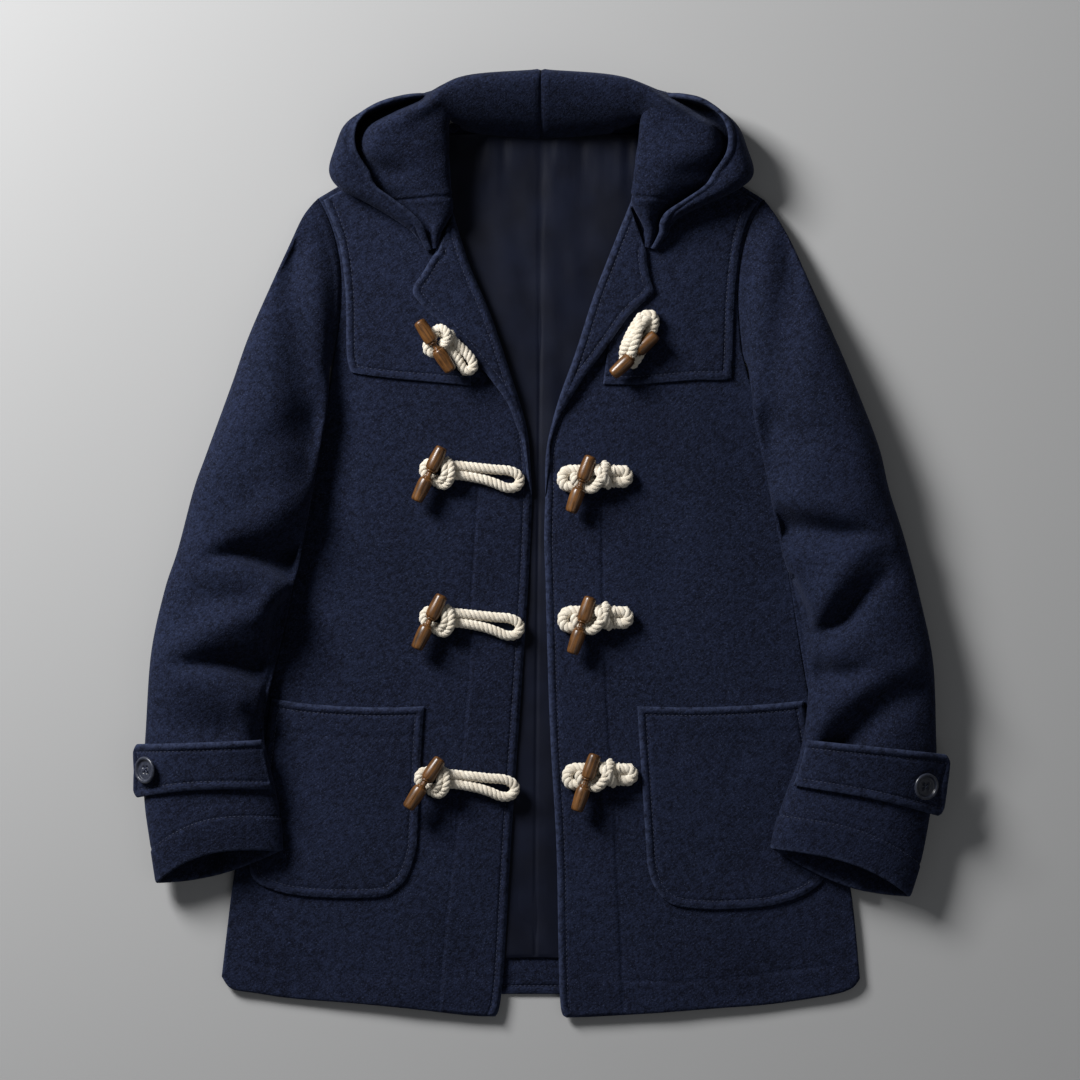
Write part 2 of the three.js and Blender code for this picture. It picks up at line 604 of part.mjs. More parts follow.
// Middle surface of the hood at a line number and a share of the way along its profile
function hoodPoint(side, line, along) {
  const lines = HOOD_LINES[side];
  const plan = (name, part) => smooth(lines.map((row) => row[name][part]), line);
  const key = HOOD_PROFILES.findIndex((row) => row.line >= line);
  const next = HOOD_PROFILES[Math.max(key, 1)];
  const last = HOOD_PROFILES[Math.max(key, 1) - 1];
  const blend = smoothstep(0, 1, (line - last.line) / (next.line - last.line));
  const steps = PROFILE_STEPS.map((name) => between(last[name], next[name], blend));
  const position = along * (steps.length - 1);
  const out = smooth(steps.map((step) => step[0]), position);
  const height = smooth(steps.map((step) => step[1]), position);
  const x = mix(plan('neck', 0), plan('out', 0), out);
  const y = mix(plan('neck', 1), plan('out', 1), out);
  const rest = shoulderSupport(side, x, y) + HOOD / 2;
  return new THREE.Vector3(x, y, Math.max(height, rest + (rest > HOOD ? HOOD_GAP : 0)));
}

function hoodPiece(side, from, to, rows) {
  const columns = 20;
  const grid = [];
  for (let i = 0; i <= rows; i += 1) {
    const row = [];
    const line = mix(from, to, i / rows);
    for (let j = 0; j <= columns; j += 1) row.push(hoodPoint(side, line, j / columns));
    grid.push(row);
  }
  return bent(grid, HOOD);
}

function solidOf(geometry) {
  const bare = geometry.clone();
  bare.deleteAttribute('normal');
  bare.deleteAttribute('uv');
  const merged = mergeVertices(bare, 1e-4);
  return new wasm.Manifold(new wasm.Mesh({
    numProp: 3,
    vertProperties: new Float32Array(merged.attributes.position.array),
    triVerts: new Uint32Array(merged.index.array),
  }));
}

function geometryOf(solid) {
  const mesh = solid.getMesh();
  const geometry = new THREE.BufferGeometry();
  geometry.setAttribute('position', new THREE.BufferAttribute(new Float32Array(mesh.vertProperties), 3));
  geometry.setIndex(new THREE.BufferAttribute(new Uint32Array(mesh.triVerts), 1));
  geometry.computeVertexNormals();
  return geometry;
}

// Height of the cloth under a closure
function closureLevel(side, { spine, lift }) {
  return Math.max(...spine.map(([x, y]) => frontTop(side, x, y))) + lift + SEAM;
}

// Rope sewn down under a toggle: a closed loop of two strands, tied together by one wrap
function rope(side, closure) {
  const spread = STRAND_SPREAD[side];
  const middle = new THREE.CatmullRomCurve3(closure.spine.map(([x, y]) => new THREE.Vector3(x, y, 0)));
  const height = closureLevel(side, closure) + ROPE_RADIUS;
  const strand = (share, sign) => {
    const point = middle.getPointAt(share);
    const { x, y } = middle.getTangentAt(share);
    const half = sign * smooth(spread, share * 3);
    return new THREE.Vector3(point.x - y * half, point.y + x * half, height);
  };
  const shares = [0.08, 0.3, 0.5, 0.7, 0.9];
  const tip = (share) => middle.getPointAt(share).setZ(height);
  const out = shares.map((share) => strand(share, 1));
  const home = shares.toReversed().map((share) => strand(share, -1));
  const loop = new THREE.CatmullRomCurve3([tip(0), ...out, tip(1), ...home], true, 'centripetal');
  const strands = new THREE.TubeGeometry(loop, 22, ROPE_RADIUS, 6, true);
  const tieShare = side === 'right' ? 0.3 : 0.72;
  const sides = [-1, 1].map((sign) => strand(tieShare, sign));
  const outward = sides[1].clone().sub(sides[0]).normalize();
  const arch = [-1, -0.75, 0, 0.75, 1].map((across) => {
    const reach = sides[0].distanceTo(sides[1]) / 2 + ROPE_RADIUS * 0.8;
    const point = sides[0].clone().lerp(sides[1], 0.5).addScaledVector(outward, across * reach);
    point.z += Math.sqrt(1 - 0.9 * across * across) * (ROPE_RADIUS + 0.6) - 1;
    return point;
  });
  const section = new THREE.Shape().absarc(0, 0, KNOT_RADIUS, 0, Math.PI * 2);
  const wrap = new THREE.ExtrudeGeometry(section, {
    steps: 5, curveSegments: 3, extrudePath: new THREE.CatmullRomCurve3(arch),
  });
  return geometryOf(solidOf(strands).add(solidOf(wrap)));
}

// Turned toggle with a waist, lying on the rope across its strands
function toggle() {
  const half = [[0, 3], [3, 3.1], [9, 5.4], [15, 6.2], [23.5, 5], [TOGGLE_HALF, 0]];
  const profile = [
    ...half.toReversed().map(([along, radius]) => [-along, radius]),
    ...half.slice(1),
  ].map(([along, radius]) => new THREE.Vector2(radius, along));
  return new THREE.LatheGeometry(profile, 8);
}

function placeToggle(mesh, side, closure) {
  const { ends, over } = closure;
  const [x, y] = between(ends[0], ends[1], 0.5);
  mesh.position.set(x, y, closureLevel(side, closure) + ROPE_RADIUS + over);
  mesh.rotation.z = Math.atan2(ends[0][1] - ends[1][1], ends[0][0] - ends[1][0]) - Math.PI / 2;
}

// Round button with a raised rim and four holes
function button() {
  const profile = [[0, 0], [9.5, 0], [BUTTON_RADIUS, 1.2], [BUTTON_RADIUS, 2.6],
    [10.4, BUTTON_THICKNESS], [8.6, BUTTON_THICKNESS], [7.4, 2.4], [0, 2.4]];
  const turned = new THREE.LatheGeometry(profile.map(([radius, z]) => new THREE.Vector2(radius, z)), 14);
  let disc = solidOf(turned);
  for (let corner = 0; corner < 4; corner += 1) {
    const depth = BUTTON_THICKNESS * 4;
    const hole = new THREE.CylinderGeometry(BUTTON_HOLE_RADIUS, BUTTON_HOLE_RADIUS, depth, 6);
    const angle = Math.PI / 4 + (corner * Math.PI) / 2;
    const offset = BUTTON_HOLE_OFFSET * Math.SQRT2;
    hole.translate(Math.cos(angle) * offset, 0, Math.sin(angle) * offset);
    disc = disc.subtract(solidOf(hole));
  }
  return geometryOf(disc);
}

function placeButton(mesh, side) {
  const along = BUTTON_ALONG;
  const step = 0.02;
  const centre = strapPoint(side, 0.5, along);
  const length = strapPoint(side, 0.5, along + step).sub(strapPoint(side, 0.5, along + step * 3));
  const width = strapPoint(side, 0.6, along + step).sub(strapPoint(side, 0.4, along + step));
  const normal = length.cross(width).normalize();
  if (normal.z < 0) normal.negate();
  mesh.position.copy(centre).addScaledVector(normal, STRAP / 2 + SEAM);
  mesh.quaternion.setFromUnitVectors(new THREE.Vector3(0, 1, 0), normal);
}

const coat = new THREE.Group();
coat.position.set(-CENTRE_X, -CENTRE_Y, 0);

function add(name, geometry, material) {
  const mesh = new THREE.Mesh(geometry, material);
  mesh.name = name;
  coat.add(mesh);
  return mesh;
}

add('back_panel', back(), COLOURS.wool);
add('back_lining', backLining(), COLOURS.lining);
for (const side of ['right', 'left']) {
  add(`front_${side}`, front(side), COLOURS.wool);
  add(`yoke_${side}`, yoke(side), COLOURS.wool);
  add(`lapel_${side}`, lapel(side), COLOURS.wool);
  add(`pocket_${side}`, pocket(side), COLOURS.wool);
  add(`sleeve_upper_${side}`, sleeveHalf(side, 'upper', 23, 12), COLOURS.wool);
  add(`sleeve_under_${side}`, sleeveHalf(side, 'under', 21, 10), COLOURS.wool);
  add(`cuff_strap_${side}`, strap(side), COLOURS.wool);
  placeButton(add(`cuff_button_${side}`, button(), COLOURS.button), side);
  const lastLine = HOOD_LINES[side].length - 1;
  add(`hood_${side}`, hoodPiece(side, 0, GUSSET_LINE - GUSSET_GAP, 15), COLOURS.wool);
  add(`hood_gusset_${side}`, hoodPiece(side, GUSSET_LINE + GUSSET_GAP, lastLine, 4), COLOURS.wool);
  CLOSURES[side].forEach((closure, index) => {
    add(`rope_${side}_${index + 1}`, rope(side, closure), COLOURS.rope);
    placeToggle(add(`toggle_${side}_${index + 1}`, toggle(), COLOURS.toggle), side, closure);
  });
}

export default coat;
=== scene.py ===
# Wool duffle coat laid flat, front open. Lengths in the tables are millimetres on the cloth,
# x towards the wearer's left, y towards the hood, z up from the surface.
import math

import bpy
import numpy as np
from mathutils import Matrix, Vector


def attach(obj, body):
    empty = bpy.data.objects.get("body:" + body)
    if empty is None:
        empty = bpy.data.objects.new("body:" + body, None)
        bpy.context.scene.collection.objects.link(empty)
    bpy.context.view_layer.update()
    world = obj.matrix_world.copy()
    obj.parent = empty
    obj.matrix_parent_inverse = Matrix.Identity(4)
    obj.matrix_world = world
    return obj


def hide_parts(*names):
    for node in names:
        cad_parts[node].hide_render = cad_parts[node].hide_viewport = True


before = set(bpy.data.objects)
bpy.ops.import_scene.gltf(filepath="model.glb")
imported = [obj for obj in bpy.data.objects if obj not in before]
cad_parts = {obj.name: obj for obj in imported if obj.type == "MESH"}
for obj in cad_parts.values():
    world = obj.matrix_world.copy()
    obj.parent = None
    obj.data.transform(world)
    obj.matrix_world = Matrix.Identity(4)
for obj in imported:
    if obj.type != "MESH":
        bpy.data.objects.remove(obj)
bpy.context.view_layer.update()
print("stage: frame loaded")

coat = {
    "centreX": 3.6, "centreY": 1.6,          # middle of the tables below
    "back": 2.8, "lining": 1.0, "front": 3.4, "yoke": 2.8, "pocket": 2.8, "lapel": 4.6,
    "sleeve": 3.0, "hood": 3.0, "strap": 3.6,   # thickness of each cloth
    "seam": 0.3, "loft": 2.0, "drape": 0.9, "strapGap": 1.3,
    "stitchInset": 7.4,                      # topstitching, from a finished edge
    "cuffHem": 31, "pocketHem": 26,          # turned-up edges, to their stitching
    "liningFrom": 34, "liningTo": 140,       # where lining shows inside a sleeve, from its hem
    "facingLayer": .8, "hemLayer": .45,      # extra height over the hidden layers of the front
    "lapelTurn": 7.5, "lapelDrop": 3.2,      # the lapel's fold down to the front edge: width and drop
    "welt": 1.1, "headShift": .1,            # the sleeve's seam: its welt, and its way out from the body
}
onBack = coat["back"] + coat["seam"]
onLining = onBack + coat["lining"] + coat["seam"]
onYoke = onLining + coat["loft"] + coat["front"] + coat["seam"] + coat["yoke"]

# Plan lines of each side, from the top down or from the front edge outwards
sides = {
    "right": {
        "shoulder": (-198, 314), "underarm": (-184, 171), "armholeBow": 14,
        "sideSeam": [(-191, 123), (-204, 50), (-226, -62), (-243, -135), (-260, -219), (-274, -298),
                     (-285, -388)],
        "shoulderSeam": [(-82, 379), (-138, 349)],
        "neck": [(-82, 379), (-79, 343), (-77, 306)],
        "roll": [(-76, 301), (-62, 256), (-43, 211), (-25, 158), (-10, 108), (-6, 68), (-5, 45)],
        "edge": [(-7, -9), (-10, -62), (-17, -166), (-24, -270), (-30, -375), (-34, -414), (-38, -424)],
        "hem": [(-63, -423), (-115, -417), (-167, -412), (-219, -408), (-254, -403), (-276, -399)],
        "lapelEdge": [(-90, 266), (-95, 261), (-102, 249), (-110, 237), (-112.5, 230), (-109, 223),
                      (-96, 209), (-85, 199), (-70, 184), (-55, 166), (-41, 149), (-27, 129),
                      (-19, 108), (-14, 94), (-9, 60)],
        "yokeInner": [(-94, 368), (-88, 300), (-84, 268), (-70, 230), (-62, 190), (-60, 145)],
        "yokeOuter": [(-193, 312), (-184, 290), (-178, 270), (-173, 226), (-172, 174), (-168, 157)],
        "yokeFoot": [(-60, 145), (-98, 148), (-124, 150), (-151, 153), (-162, 155)],
        "pocketInner": [(-102, -144), (-104, -172), (-108, -256), (-110, -276), (-117, -297),
                        (-124, -306)],
        "pocketOuter": [(-240, -137), (-247, -190), (-255, -250), (-260, -282), (-258, -297),
                        (-250, -305)],
        "pocketFoot": [(-124, -306), (-138, -315), (-167, -317), (-202, -316), (-226, -313),
                       (-240, -309), (-250, -305)],
        "pocketMouth": [(-102, -144), (-150, -145), (-205, -142), (-240, -137)],
        "facing": [(-53, 57), (-56, 9), (-59, -44), (-61, -114), (-64, -148), (-67, -190),
                   (-72, -253), (-80, -323), (-85, -375), (-88, -420)],
        "hemStitch": [(-279, -372), (-226, -382), (-187, -385), (-148, -388), (-108, -389), (-87, -391)],
    },
    "left": {
        "shoulder": (204, 313), "underarm": (185, 174), "armholeBow": 13,
        "sideSeam": [(196, 132), (205, 87), (225, -12), (243, -124), (263, -215), (282, -305),
                     (291, -390)],
        "shoulderSeam": [(94, 379), (148, 348)],
        "neck": [(94, 379), (90, 343), (85, 315)],
        "roll": [(83, 308), (66, 266), (50, 224), (35, 177), (18, 129), (8, 87), (7, 45)],
        "edge": [(6, 9), (7, -27), (11, -159), (17, -270), (19, -368), (21, -416), (26, -425)],
        "hem": [(54, -424), (106, -421), (158, -417), (210, -413), (263, -405), (283, -399)],
        "lapelEdge": [(98, 266), (99, 256), (101, 243), (104.5, 232), (103, 227), (92, 217), (81, 206),
                      (71, 192), (61, 178), (50, 163), (40, 150), (29, 132), (19, 115), (12, 94),
                      (11, 76)],
        "yokeInner": [(106, 366), (98, 300), (93, 268), (80, 230), (66, 190), (59, 146)],
        "yokeOuter": [(199, 311), (190, 296), (183, 270), (178, 226), (176, 174), (175, 152)],
        "yokeFoot": [(59, 146), (90, 146), (117, 148), (143, 150), (166, 150), (175, 152)],
        "pocketInner": [(90, -144), (92, -178), (98, -270), (99, -286), (104, -304), (113, -317)],
        "pocketOuter": [(240, -139), (247, -180), (256, -240), (262, -276), (259, -297),
                        (250, -308)],
        "pocketFoot": [(113, -317), (126, -324), (158, -327), (200, -325), (222, -321), (238, -315),
                       (250, -308)],
        "pocketMouth": [(90, -144), (140, -145), (195, -143), (240, -139)],
        "facing": [(57, 67), (58, 9), (59, -62), (62, -131), (65, -183), (69, -236), (71, -288),
                   (74, -340), (76, -392), (77, -418)],
        "hemStitch": [(78, -392), (123, -392), (178, -389), (224, -383), (270, -377), (288, -372)],
    },
}

# Rings of each sleeve from armhole to cuff: both ends, crown height, bow of the upper and under edge
sleeveRings = {
    "right": [
        (-198, 314, -184, 171, 4.8, 14, 14), (-210, 297, -188, 163, 15, 11, 11),
        (-223, 269, -189, 153, 28, 8, 8), (-241, 229, -189, 142, 39, 4, 4),
        (-259, 187, -190, 130, 45, 1, 1), (-274, 144, -192, 115, 48, 0, 0),
        (-297, 81, -203, 53, 49, 0, 0), (-308, 50, -209, 21, 48, 0, 0),
        (-322, -3, -221, -35, 46, 0, 0), (-334, -40, -239, -64, 48, 0, 0),
        (-346, -96, -244, -109, 49, 0, 0), (-351, -166, -248, -163, 44, 0, 0),
        (-353, -201, -242, -199, 41, 2, 0), (-352, -233, -236, -225, 39, 5, -1),
        (-347, -269, -232, -253, 38, 9, -4), (-342, -303, -231, -274, 35, 14, -7),
    ],
    "left": [
        (204, 313, 185, 174, 4.8, 13, 13), (214, 297, 190, 165, 15, 11, 11),
        (227, 274, 192, 156, 28, 8, 8), (245, 234, 193, 145, 39, 4, 4),
        (264, 192, 195, 133, 45, 1, 1), (282, 150, 196, 118, 48, 0, 0),
        (305, 91, 208, 61, 49, 0, 0), (315, 50, 215, 25, 48, 0, 0),
        (329, 6, 225, -17, 46, 0, 0), (342, -44, 244, -60, 48, 0, 0),
        (354, -102, 246, -103, 49, 0, 0), (357, -166, 243, -155, 46, 0, 0),
        (357, -206, 236, -192, 43, 2, 0), (351, -246, 226, -219, 41, 4, -2),
        (344, -282, 216, -249, 40, 7, -6), (334, -315, 211, -272, 37, 11, -10),
    ],
}

# Lines across the hood from centre back to front neck: where each leaves the neck and meets the outline
hoodLines = {
    "right": [(3.13, 369, 3.13, 427), (-52, 373, -59, 423), (-73, 381, -87, 413), (-79, 386, -114, 405),
              (-81, 376, -149, 395), (-81, 364, -173, 380), (-81, 352, -183, 359), (-81, 341, -188, 337),
              (-80, 328, -178, 322), (-78, 315, -156, 311), (-77, 303, -133, 298), (-81, 293, -117, 287),
              (-87, 283, -109, 279), (-90, 269, -99, 267)],
    "left": [(3.17, 369, 3.17, 427), (62, 373, 65, 423), (88, 381, 97, 414), (94, 387, 132, 405),
             (93, 376, 158, 396), (92, 364, 180, 379), (90, 352, 190, 357), (89, 341, 195, 336),
             (87, 328, 183, 323), (86, 315, 157, 311), (88, 304, 131, 299), (93, 294, 120, 289),
             (97, 284, 117, 281), (97, 270, 106, 268)],
}

# Height of the hood's cloth along such a line: share of the way out, height, from the seam to the rim
hoodProfiles = [
    (0, [(0, 5.2), (.12, 20), (.3, 33), (.6, 47), (.88, 54), (.985, 46), (.985, 22), (.93, 6), (.75, 1.8),
         (.5, 1.7)]),
    (2, [(.02, 5.2), (.06, 22), (.2, 36), (.5, 46), (.82, 51), (.96, 44), (.97, 24), (.95, 9), (.8, 2.4),
         (.6, 2.2)]),
    (3, [(.06, 14), (0, 27), (.05, 40), (.3, 47), (.6, 50), (.78, 16), (.91, 6), (.97, 12), (.98, 24),
         (.97, 34)]),
    (4, [(.1, 14), (0, 27), (.05, 40), (.3, 46), (.6, 48), (.74, 14), (.9, 5.5), (.97, 13), (.985, 28),
         (.97, 39)]),
    (5, [(.09, 14), (0, 26), (.045, 38), (.3, 45), (.68, 47), (.8, 16), (.92, 8), (.98, 20), (.96, 36),
         (.88, 43)]),
    (6, [(.08, 14), (0, 26), (.04, 36), (.3, 44), (.66, 44), (.8, 20), (.93, 11), (.98, 24), (.93, 38),
         (.8, 43)]),
    (7, [(.07, 15), (0, 26), (.04, 36), (.25, 40), (.46, 34), (.72, 22), (.93, 16), (.98, 26), (.88, 38),
         (.66, 37)]),
    (9, [(.08, 13), (0, 24), (.05, 31), (.22, 33), (.4, 28), (.66, 17), (.91, 14), (.98, 25), (.86, 33),
         (.66, 32)]),
    (12, [(.2, 13), (.04, 17), (.12, 21), (.28, 21.5), (.42, 18), (.62, 13.4), (.86, 13), (.96, 18),
          (.82, 23), (.6, 24)]),
    (13, [(.3, 13), (.1, 14), (.12, 16), (.25, 17), (.4, 16.4), (.6, 15.5), (.86, 15), (.94, 16.5),
          (.8, 18), (.6, 18.5)]),
]
gussetLine = 9                                 # seam of the lower part, counted in the lines above


def step(start, end, value):  # 0 to 1 between two values, rising or falling
    t = np.clip((value - start) / (end - start), 0, 1)
    return t * t * (3 - 2 * t)


def mix(a, b, share):
    return a + (b - a) * share


def curve(a, b, c, d, t):  # through four values in a row, at a share of the way between the middle two
    return .5 * (2 * b + (c - a) * t + (2 * a - 5 * b + 4 * c - d) * t ** 2
                 + (3 * b - a - 3 * c + d) * t ** 3)


def smoothValues(values, position):  # smooth line through evenly spaced rows, at positions counted in rows
    p = np.asarray(values, float)
    last = len(p) - 1
    position = np.asarray(position, float)
    i = np.clip(np.floor(position).astype(int), 0, last - 1)
    t = position - i
    a, b, c, d = p[np.maximum(i - 1, 0)], p[i], p[i + 1], p[np.minimum(i + 2, last)]
    return curve(a, b, c, d, t.reshape(t.shape + (1,) * (b.ndim - t.ndim)))


def smoothLine(points, shares):  # points at shares of the length of a smooth line
    p = np.asarray(points, float)
    q = smoothValues(p, np.linspace(0, len(p) - 1, (len(p) - 1) * 24 + 1))
    length = np.concatenate([[0], np.cumsum(np.linalg.norm(np.diff(q, axis=0), axis=1))])
    wanted = np.asarray(shares, float) * length[-1]
    return np.stack([np.interp(wanted, length, q[:, k]) for k in range(q.shape[1])], axis=-1)


def lineLength(points):
    return float(np.linalg.norm(np.diff(smoothLine(points, np.linspace(0, 1, 80)), axis=0), axis=1).sum())


def lineX(points, y):  # x of a line listed from the top down, at given y
    p = np.asarray(points, float)[::-1]
    return np.interp(y, p[:, 1], p[:, 0])


def fromLine(x, y, points, count):  # distance of each point from a line, how far along it, and the side
    line = smoothLine(points, np.linspace(0, 1, count))
    a, ab = line[:-1], np.diff(line, axis=0)
    along = np.concatenate([[0], np.cumsum(np.linalg.norm(ab, axis=1))])
    px, py = np.ravel(x), np.ravel(y)
    best = np.full(px.shape, 1e9)
    place = np.zeros(px.shape)
    hand = np.zeros(px.shape)
    for k in range(len(a)):
        dx, dy = px - a[k, 0], py - a[k, 1]
        size = along[k + 1] - along[k]
        t = np.clip((dx * ab[k, 0] + dy * ab[k, 1]) / max(size * size, 1e-9), 0, 1)
        gap = np.hypot(dx - t * ab[k, 0], dy - t * ab[k, 1])
        near = gap < best
        best[near] = gap[near]
        place[near] = (along[k] + t * size)[near]
        hand[near] = np.sign(ab[k, 0] * dy - ab[k, 1] * dx)[near]
    shape = np.shape(x)
    return best.reshape(shape), place.reshape(shape), hand.reshape(shape)


def softNoise(x, y, size, seed):  # smooth uneven value from -1 to 1, with lumps of a given size
    table = np.random.default_rng(seed).uniform(-1, 1, (128, 128))
    gx, gy = np.asarray(x, float) / size + 31.3, np.asarray(y, float) / size + 17.7
    ix, iy = np.floor(gx).astype(int), np.floor(gy).astype(int)
    fx, fy = gx - ix, gy - iy
    fx, fy = fx * fx * (3 - 2 * fx), fy * fy * (3 - 2 * fy)
    def at(i, j):
        return table[(ix + i) % 128, (iy + j) % 128]
    return mix(mix(at(0, 0), at(1, 0), fx), mix(at(0, 1), at(1, 1), fx), fy)


def edgeShares(length, spacing):
    rim = np.array([0, .3, .8, 1.5, 2.4, 3.5, 4.7, 5.8, 6.7, 7.4, 8.1, 9, 10.5, 12.5]) / length
    count = max(int(round(length * (1 - 2 * rim[-1]) / spacing)), 2)   # fine near both ends, then even
    inner = np.linspace(rim[-1], 1 - rim[-1], count + 1)
    return np.concatenate([rim[:-1], inner, 1 - rim[-2::-1]])


def coonsGrid(start, finish, top, bottom, rows, columns):  # plan points inside four smooth edges
    a, b = smoothLine(start, rows)[:, None], smoothLine(finish, rows)[:, None]
    c, d = smoothLine(top, columns)[None], smoothLine(bottom, columns)[None]
    v, u = np.asarray(rows)[:, None, None], np.asarray(columns)[None, :, None]
    corners = mix(mix(c[:, :1], c[:, -1:], u), mix(d[:, :1], d[:, -1:], u), v)
    return mix(a, b, u) + mix(c, d, v) - corners


def placed(points):  # tables' millimetres to metres in the frame
    p = np.asarray(points, float).reshape(-1, 3)
    return (p - (coat["centreX"], coat["centreY"], 0)) * .001


def meshPiece(name, points, faces, materials, faceSlots=None, attributes=None, uvs=None):
    verts = placed(points)
    faces = np.asarray(faces)
    a, b, c = verts[faces[:, 0]], verts[faces[:, 1]], verts[faces[:, 2]]
    volume = np.einsum("ij,ij->i", a, np.cross(b, c)).sum()
    if faces.shape[1] == 4:
        d = verts[faces[:, 3]]
        volume += np.einsum("ij,ij->i", a, np.cross(c, d)).sum()
    flip = volume < 0
    if flip:
        faces = faces[:, ::-1]
    size, width = faces.shape
    mesh = bpy.data.meshes.new(name)
    mesh.vertices.add(len(verts))
    mesh.vertices.foreach_set("co", verts.astype(np.float32).ravel())
    mesh.loops.add(size * width)
    mesh.loops.foreach_set("vertex_index", faces.astype(np.int32).ravel())
    mesh.polygons.add(size)
    mesh.polygons.foreach_set("loop_start", np.arange(0, size * width, width, dtype=np.int32))
    mesh.polygons.foreach_set("use_smooth", np.ones(size, dtype=bool))
    for material in materials:
        mesh.materials.append(material)
    if faceSlots is not None:
        mesh.polygons.foreach_set("material_index", np.asarray(faceSlots, dtype=np.int32))
    if uvs is not None:
        layer = mesh.uv_layers.new(name="UVMap")
        corner = np.asarray(uvs, np.float32)
        corner = corner[:, ::-1] if flip else corner
        layer.data.foreach_set("uv", corner.ravel())
    mesh.update(calc_edges=True)
    for label, values in (attributes or {}).items():
        values = np.asarray(values, np.float32)
        kind = "FLOAT_VECTOR" if values.ndim == 2 else "FLOAT"
        layer = mesh.attributes.new(label, kind, "POINT")
        layer.data.foreach_set("vector" if kind == "FLOAT_VECTOR" else "value", values.ravel())
    mesh.validate()
    piece = bpy.data.objects.new(name, mesh)
    bpy.context.collection.objects.link(piece)
    return piece


def shellFaces(rows, columns, wrap=False):  # closed wall between two grids, outer first
    near = np.arange(rows - 1)[:, None]
    across = np.arange(columns if wrap else columns - 1)[None]
    beside = (across + 1) % columns
    def quads(layer, flipped):
        base = layer * rows * columns
        a, b = base + near * columns + across, base + (near + 1) * columns + across
        c, d = base + (near + 1) * columns + beside, base + near * columns + beside
        q = np.stack([a, b, c, d] if not flipped else [a, d, c, b], axis=-1)
        return q.reshape(-1, 4)
    parts = [quads(0, False), quads(1, True)]
    inner = rows * columns
    j = np.arange(columns if wrap else columns - 1)
    jn = (j + 1) % columns
    end = (rows - 1) * columns
    parts.append(np.stack([j, jn, inner + jn, inner + j], axis=-1))
    parts.append(np.stack([inner + end + j, inner + end + jn, end + jn, end + j], axis=-1))
    if not wrap:
        i = np.arange(rows - 1) * columns
        last = columns - 1
        parts.append(np.stack([inner + i, inner + i + columns, i + columns, i], axis=-1))
        parts.append(np.stack([i + last, i + columns + last, inner + i + columns + last,
                               inner + i + last], axis=-1))
    return np.concatenate(parts)


def wallPiece(name, outer, inner, wearAndStrandShade, material, wornInside=1):  # cloth between two grids of points
    points = np.concatenate([outer.reshape(-1, 3), inner.reshape(-1, 3)])
    wearAndStrandShade = np.concatenate([wearAndStrandShade.ravel(), wearAndStrandShade.ravel() * wornInside])
    return meshPiece(name, points, shellFaces(*outer.shape[:2]), [material], attributes={"wearAndStrandShade": wearAndStrandShade})


def fromStart(grid, axis):  # how far each point of a grid is along its own line
    return np.insert(np.linalg.norm(np.diff(grid, axis=axis), axis=-1).cumsum(axis=axis), 0, 0, axis=axis)


def fromEnd(grid, axis):
    return np.flip(fromStart(np.flip(grid, axis), axis), axis)


def halfThickness(distance, cloth):  # rounded off towards the cloth's edge
    return cloth / 2 * (.2 + .8 * roundShare(distance, cloth * .6))


def roundShare(distance, radius):  # 0 at an edge to 1 past its rounding
    t = 1 - np.clip(distance / radius, 0, 1)
    return np.sqrt(np.clip(1 - t * t, 0, 1))


# Relief of a stitched edge and of a single seam line: padding, depth of the groove, and puckers beside it
seamLook = {"pad": .75, "press": 1.15, "pucker": .3, "linePress": .85, "linePucker": .26}


def stitchedEdge(distance, along, seed, pad=seamLook["pad"], press=seamLook["press"]):
    inset, pucker = coat["stitchInset"], seamLook["pucker"]
    swell = pad * np.exp(-((distance - inset * .48) / (inset * .34)) ** 2)
    groove = -press * np.exp(-((distance - inset) / 1.15) ** 2)
    waves = softNoise(along, along * 0, 5.2, seed) + .6 * softNoise(along, along * 0, 13, seed + 1)
    return swell + groove + pucker * waves * np.exp(-((distance - inset) / 4.2) ** 2)


def stitchLine(distance, along, seed, press=seamLook["linePress"], pucker=seamLook["linePucker"]):
    groove = -press * np.exp(-(distance / 1.3) ** 2)
    waves = softNoise(along, along * 0, 6, seed) + .7 * softNoise(along, along * 0, 15, seed + 1)
    return groove + pucker * waves * np.exp(-(distance / 5.5) ** 2)


threadRuns = []                                # lines of topstitching: points and the cloth's normal there


def addRun(surface, normal, distance, inset, keep=None):  # where the distance first crosses inset, row by row
    line, lean = [], []
    for i in range(len(surface)):
        past = np.nonzero(distance[i] >= inset)[0]
        j = past[0] if len(past) else 0
        if j == 0 or (keep is not None and not keep[i, j]):
            continue
        t = (inset - distance[i, j - 1]) / max(distance[i, j] - distance[i, j - 1], 1e-9)
        line.append(mix(surface[i, j - 1], surface[i, j], t))
        lean.append(normal[i, j])
    if len(line) > 3:
        threadRuns.append((np.array(line), np.array(lean)))


def creases(x, y, folds, wider=1):  # soft troughs and ridges, each side and end of its own width
    height = np.zeros(np.shape(x))
    for fold in folds:
        gap, along, hand = fromLine(x, y, fold["line"], 40)
        share = np.clip(along / lineLength(fold["line"]), 0, 1)
        first, last = fold["width"]
        width = wider * mix(first, last, share)
        width *= np.where(hand > 0, fold.get("left", 1), fold.get("right", 1))
        rise = mix(*fold["rise"], share)
        height += rise * np.exp(-(gap / width) ** 2)
    return height


print("stage: tables and tools ready")

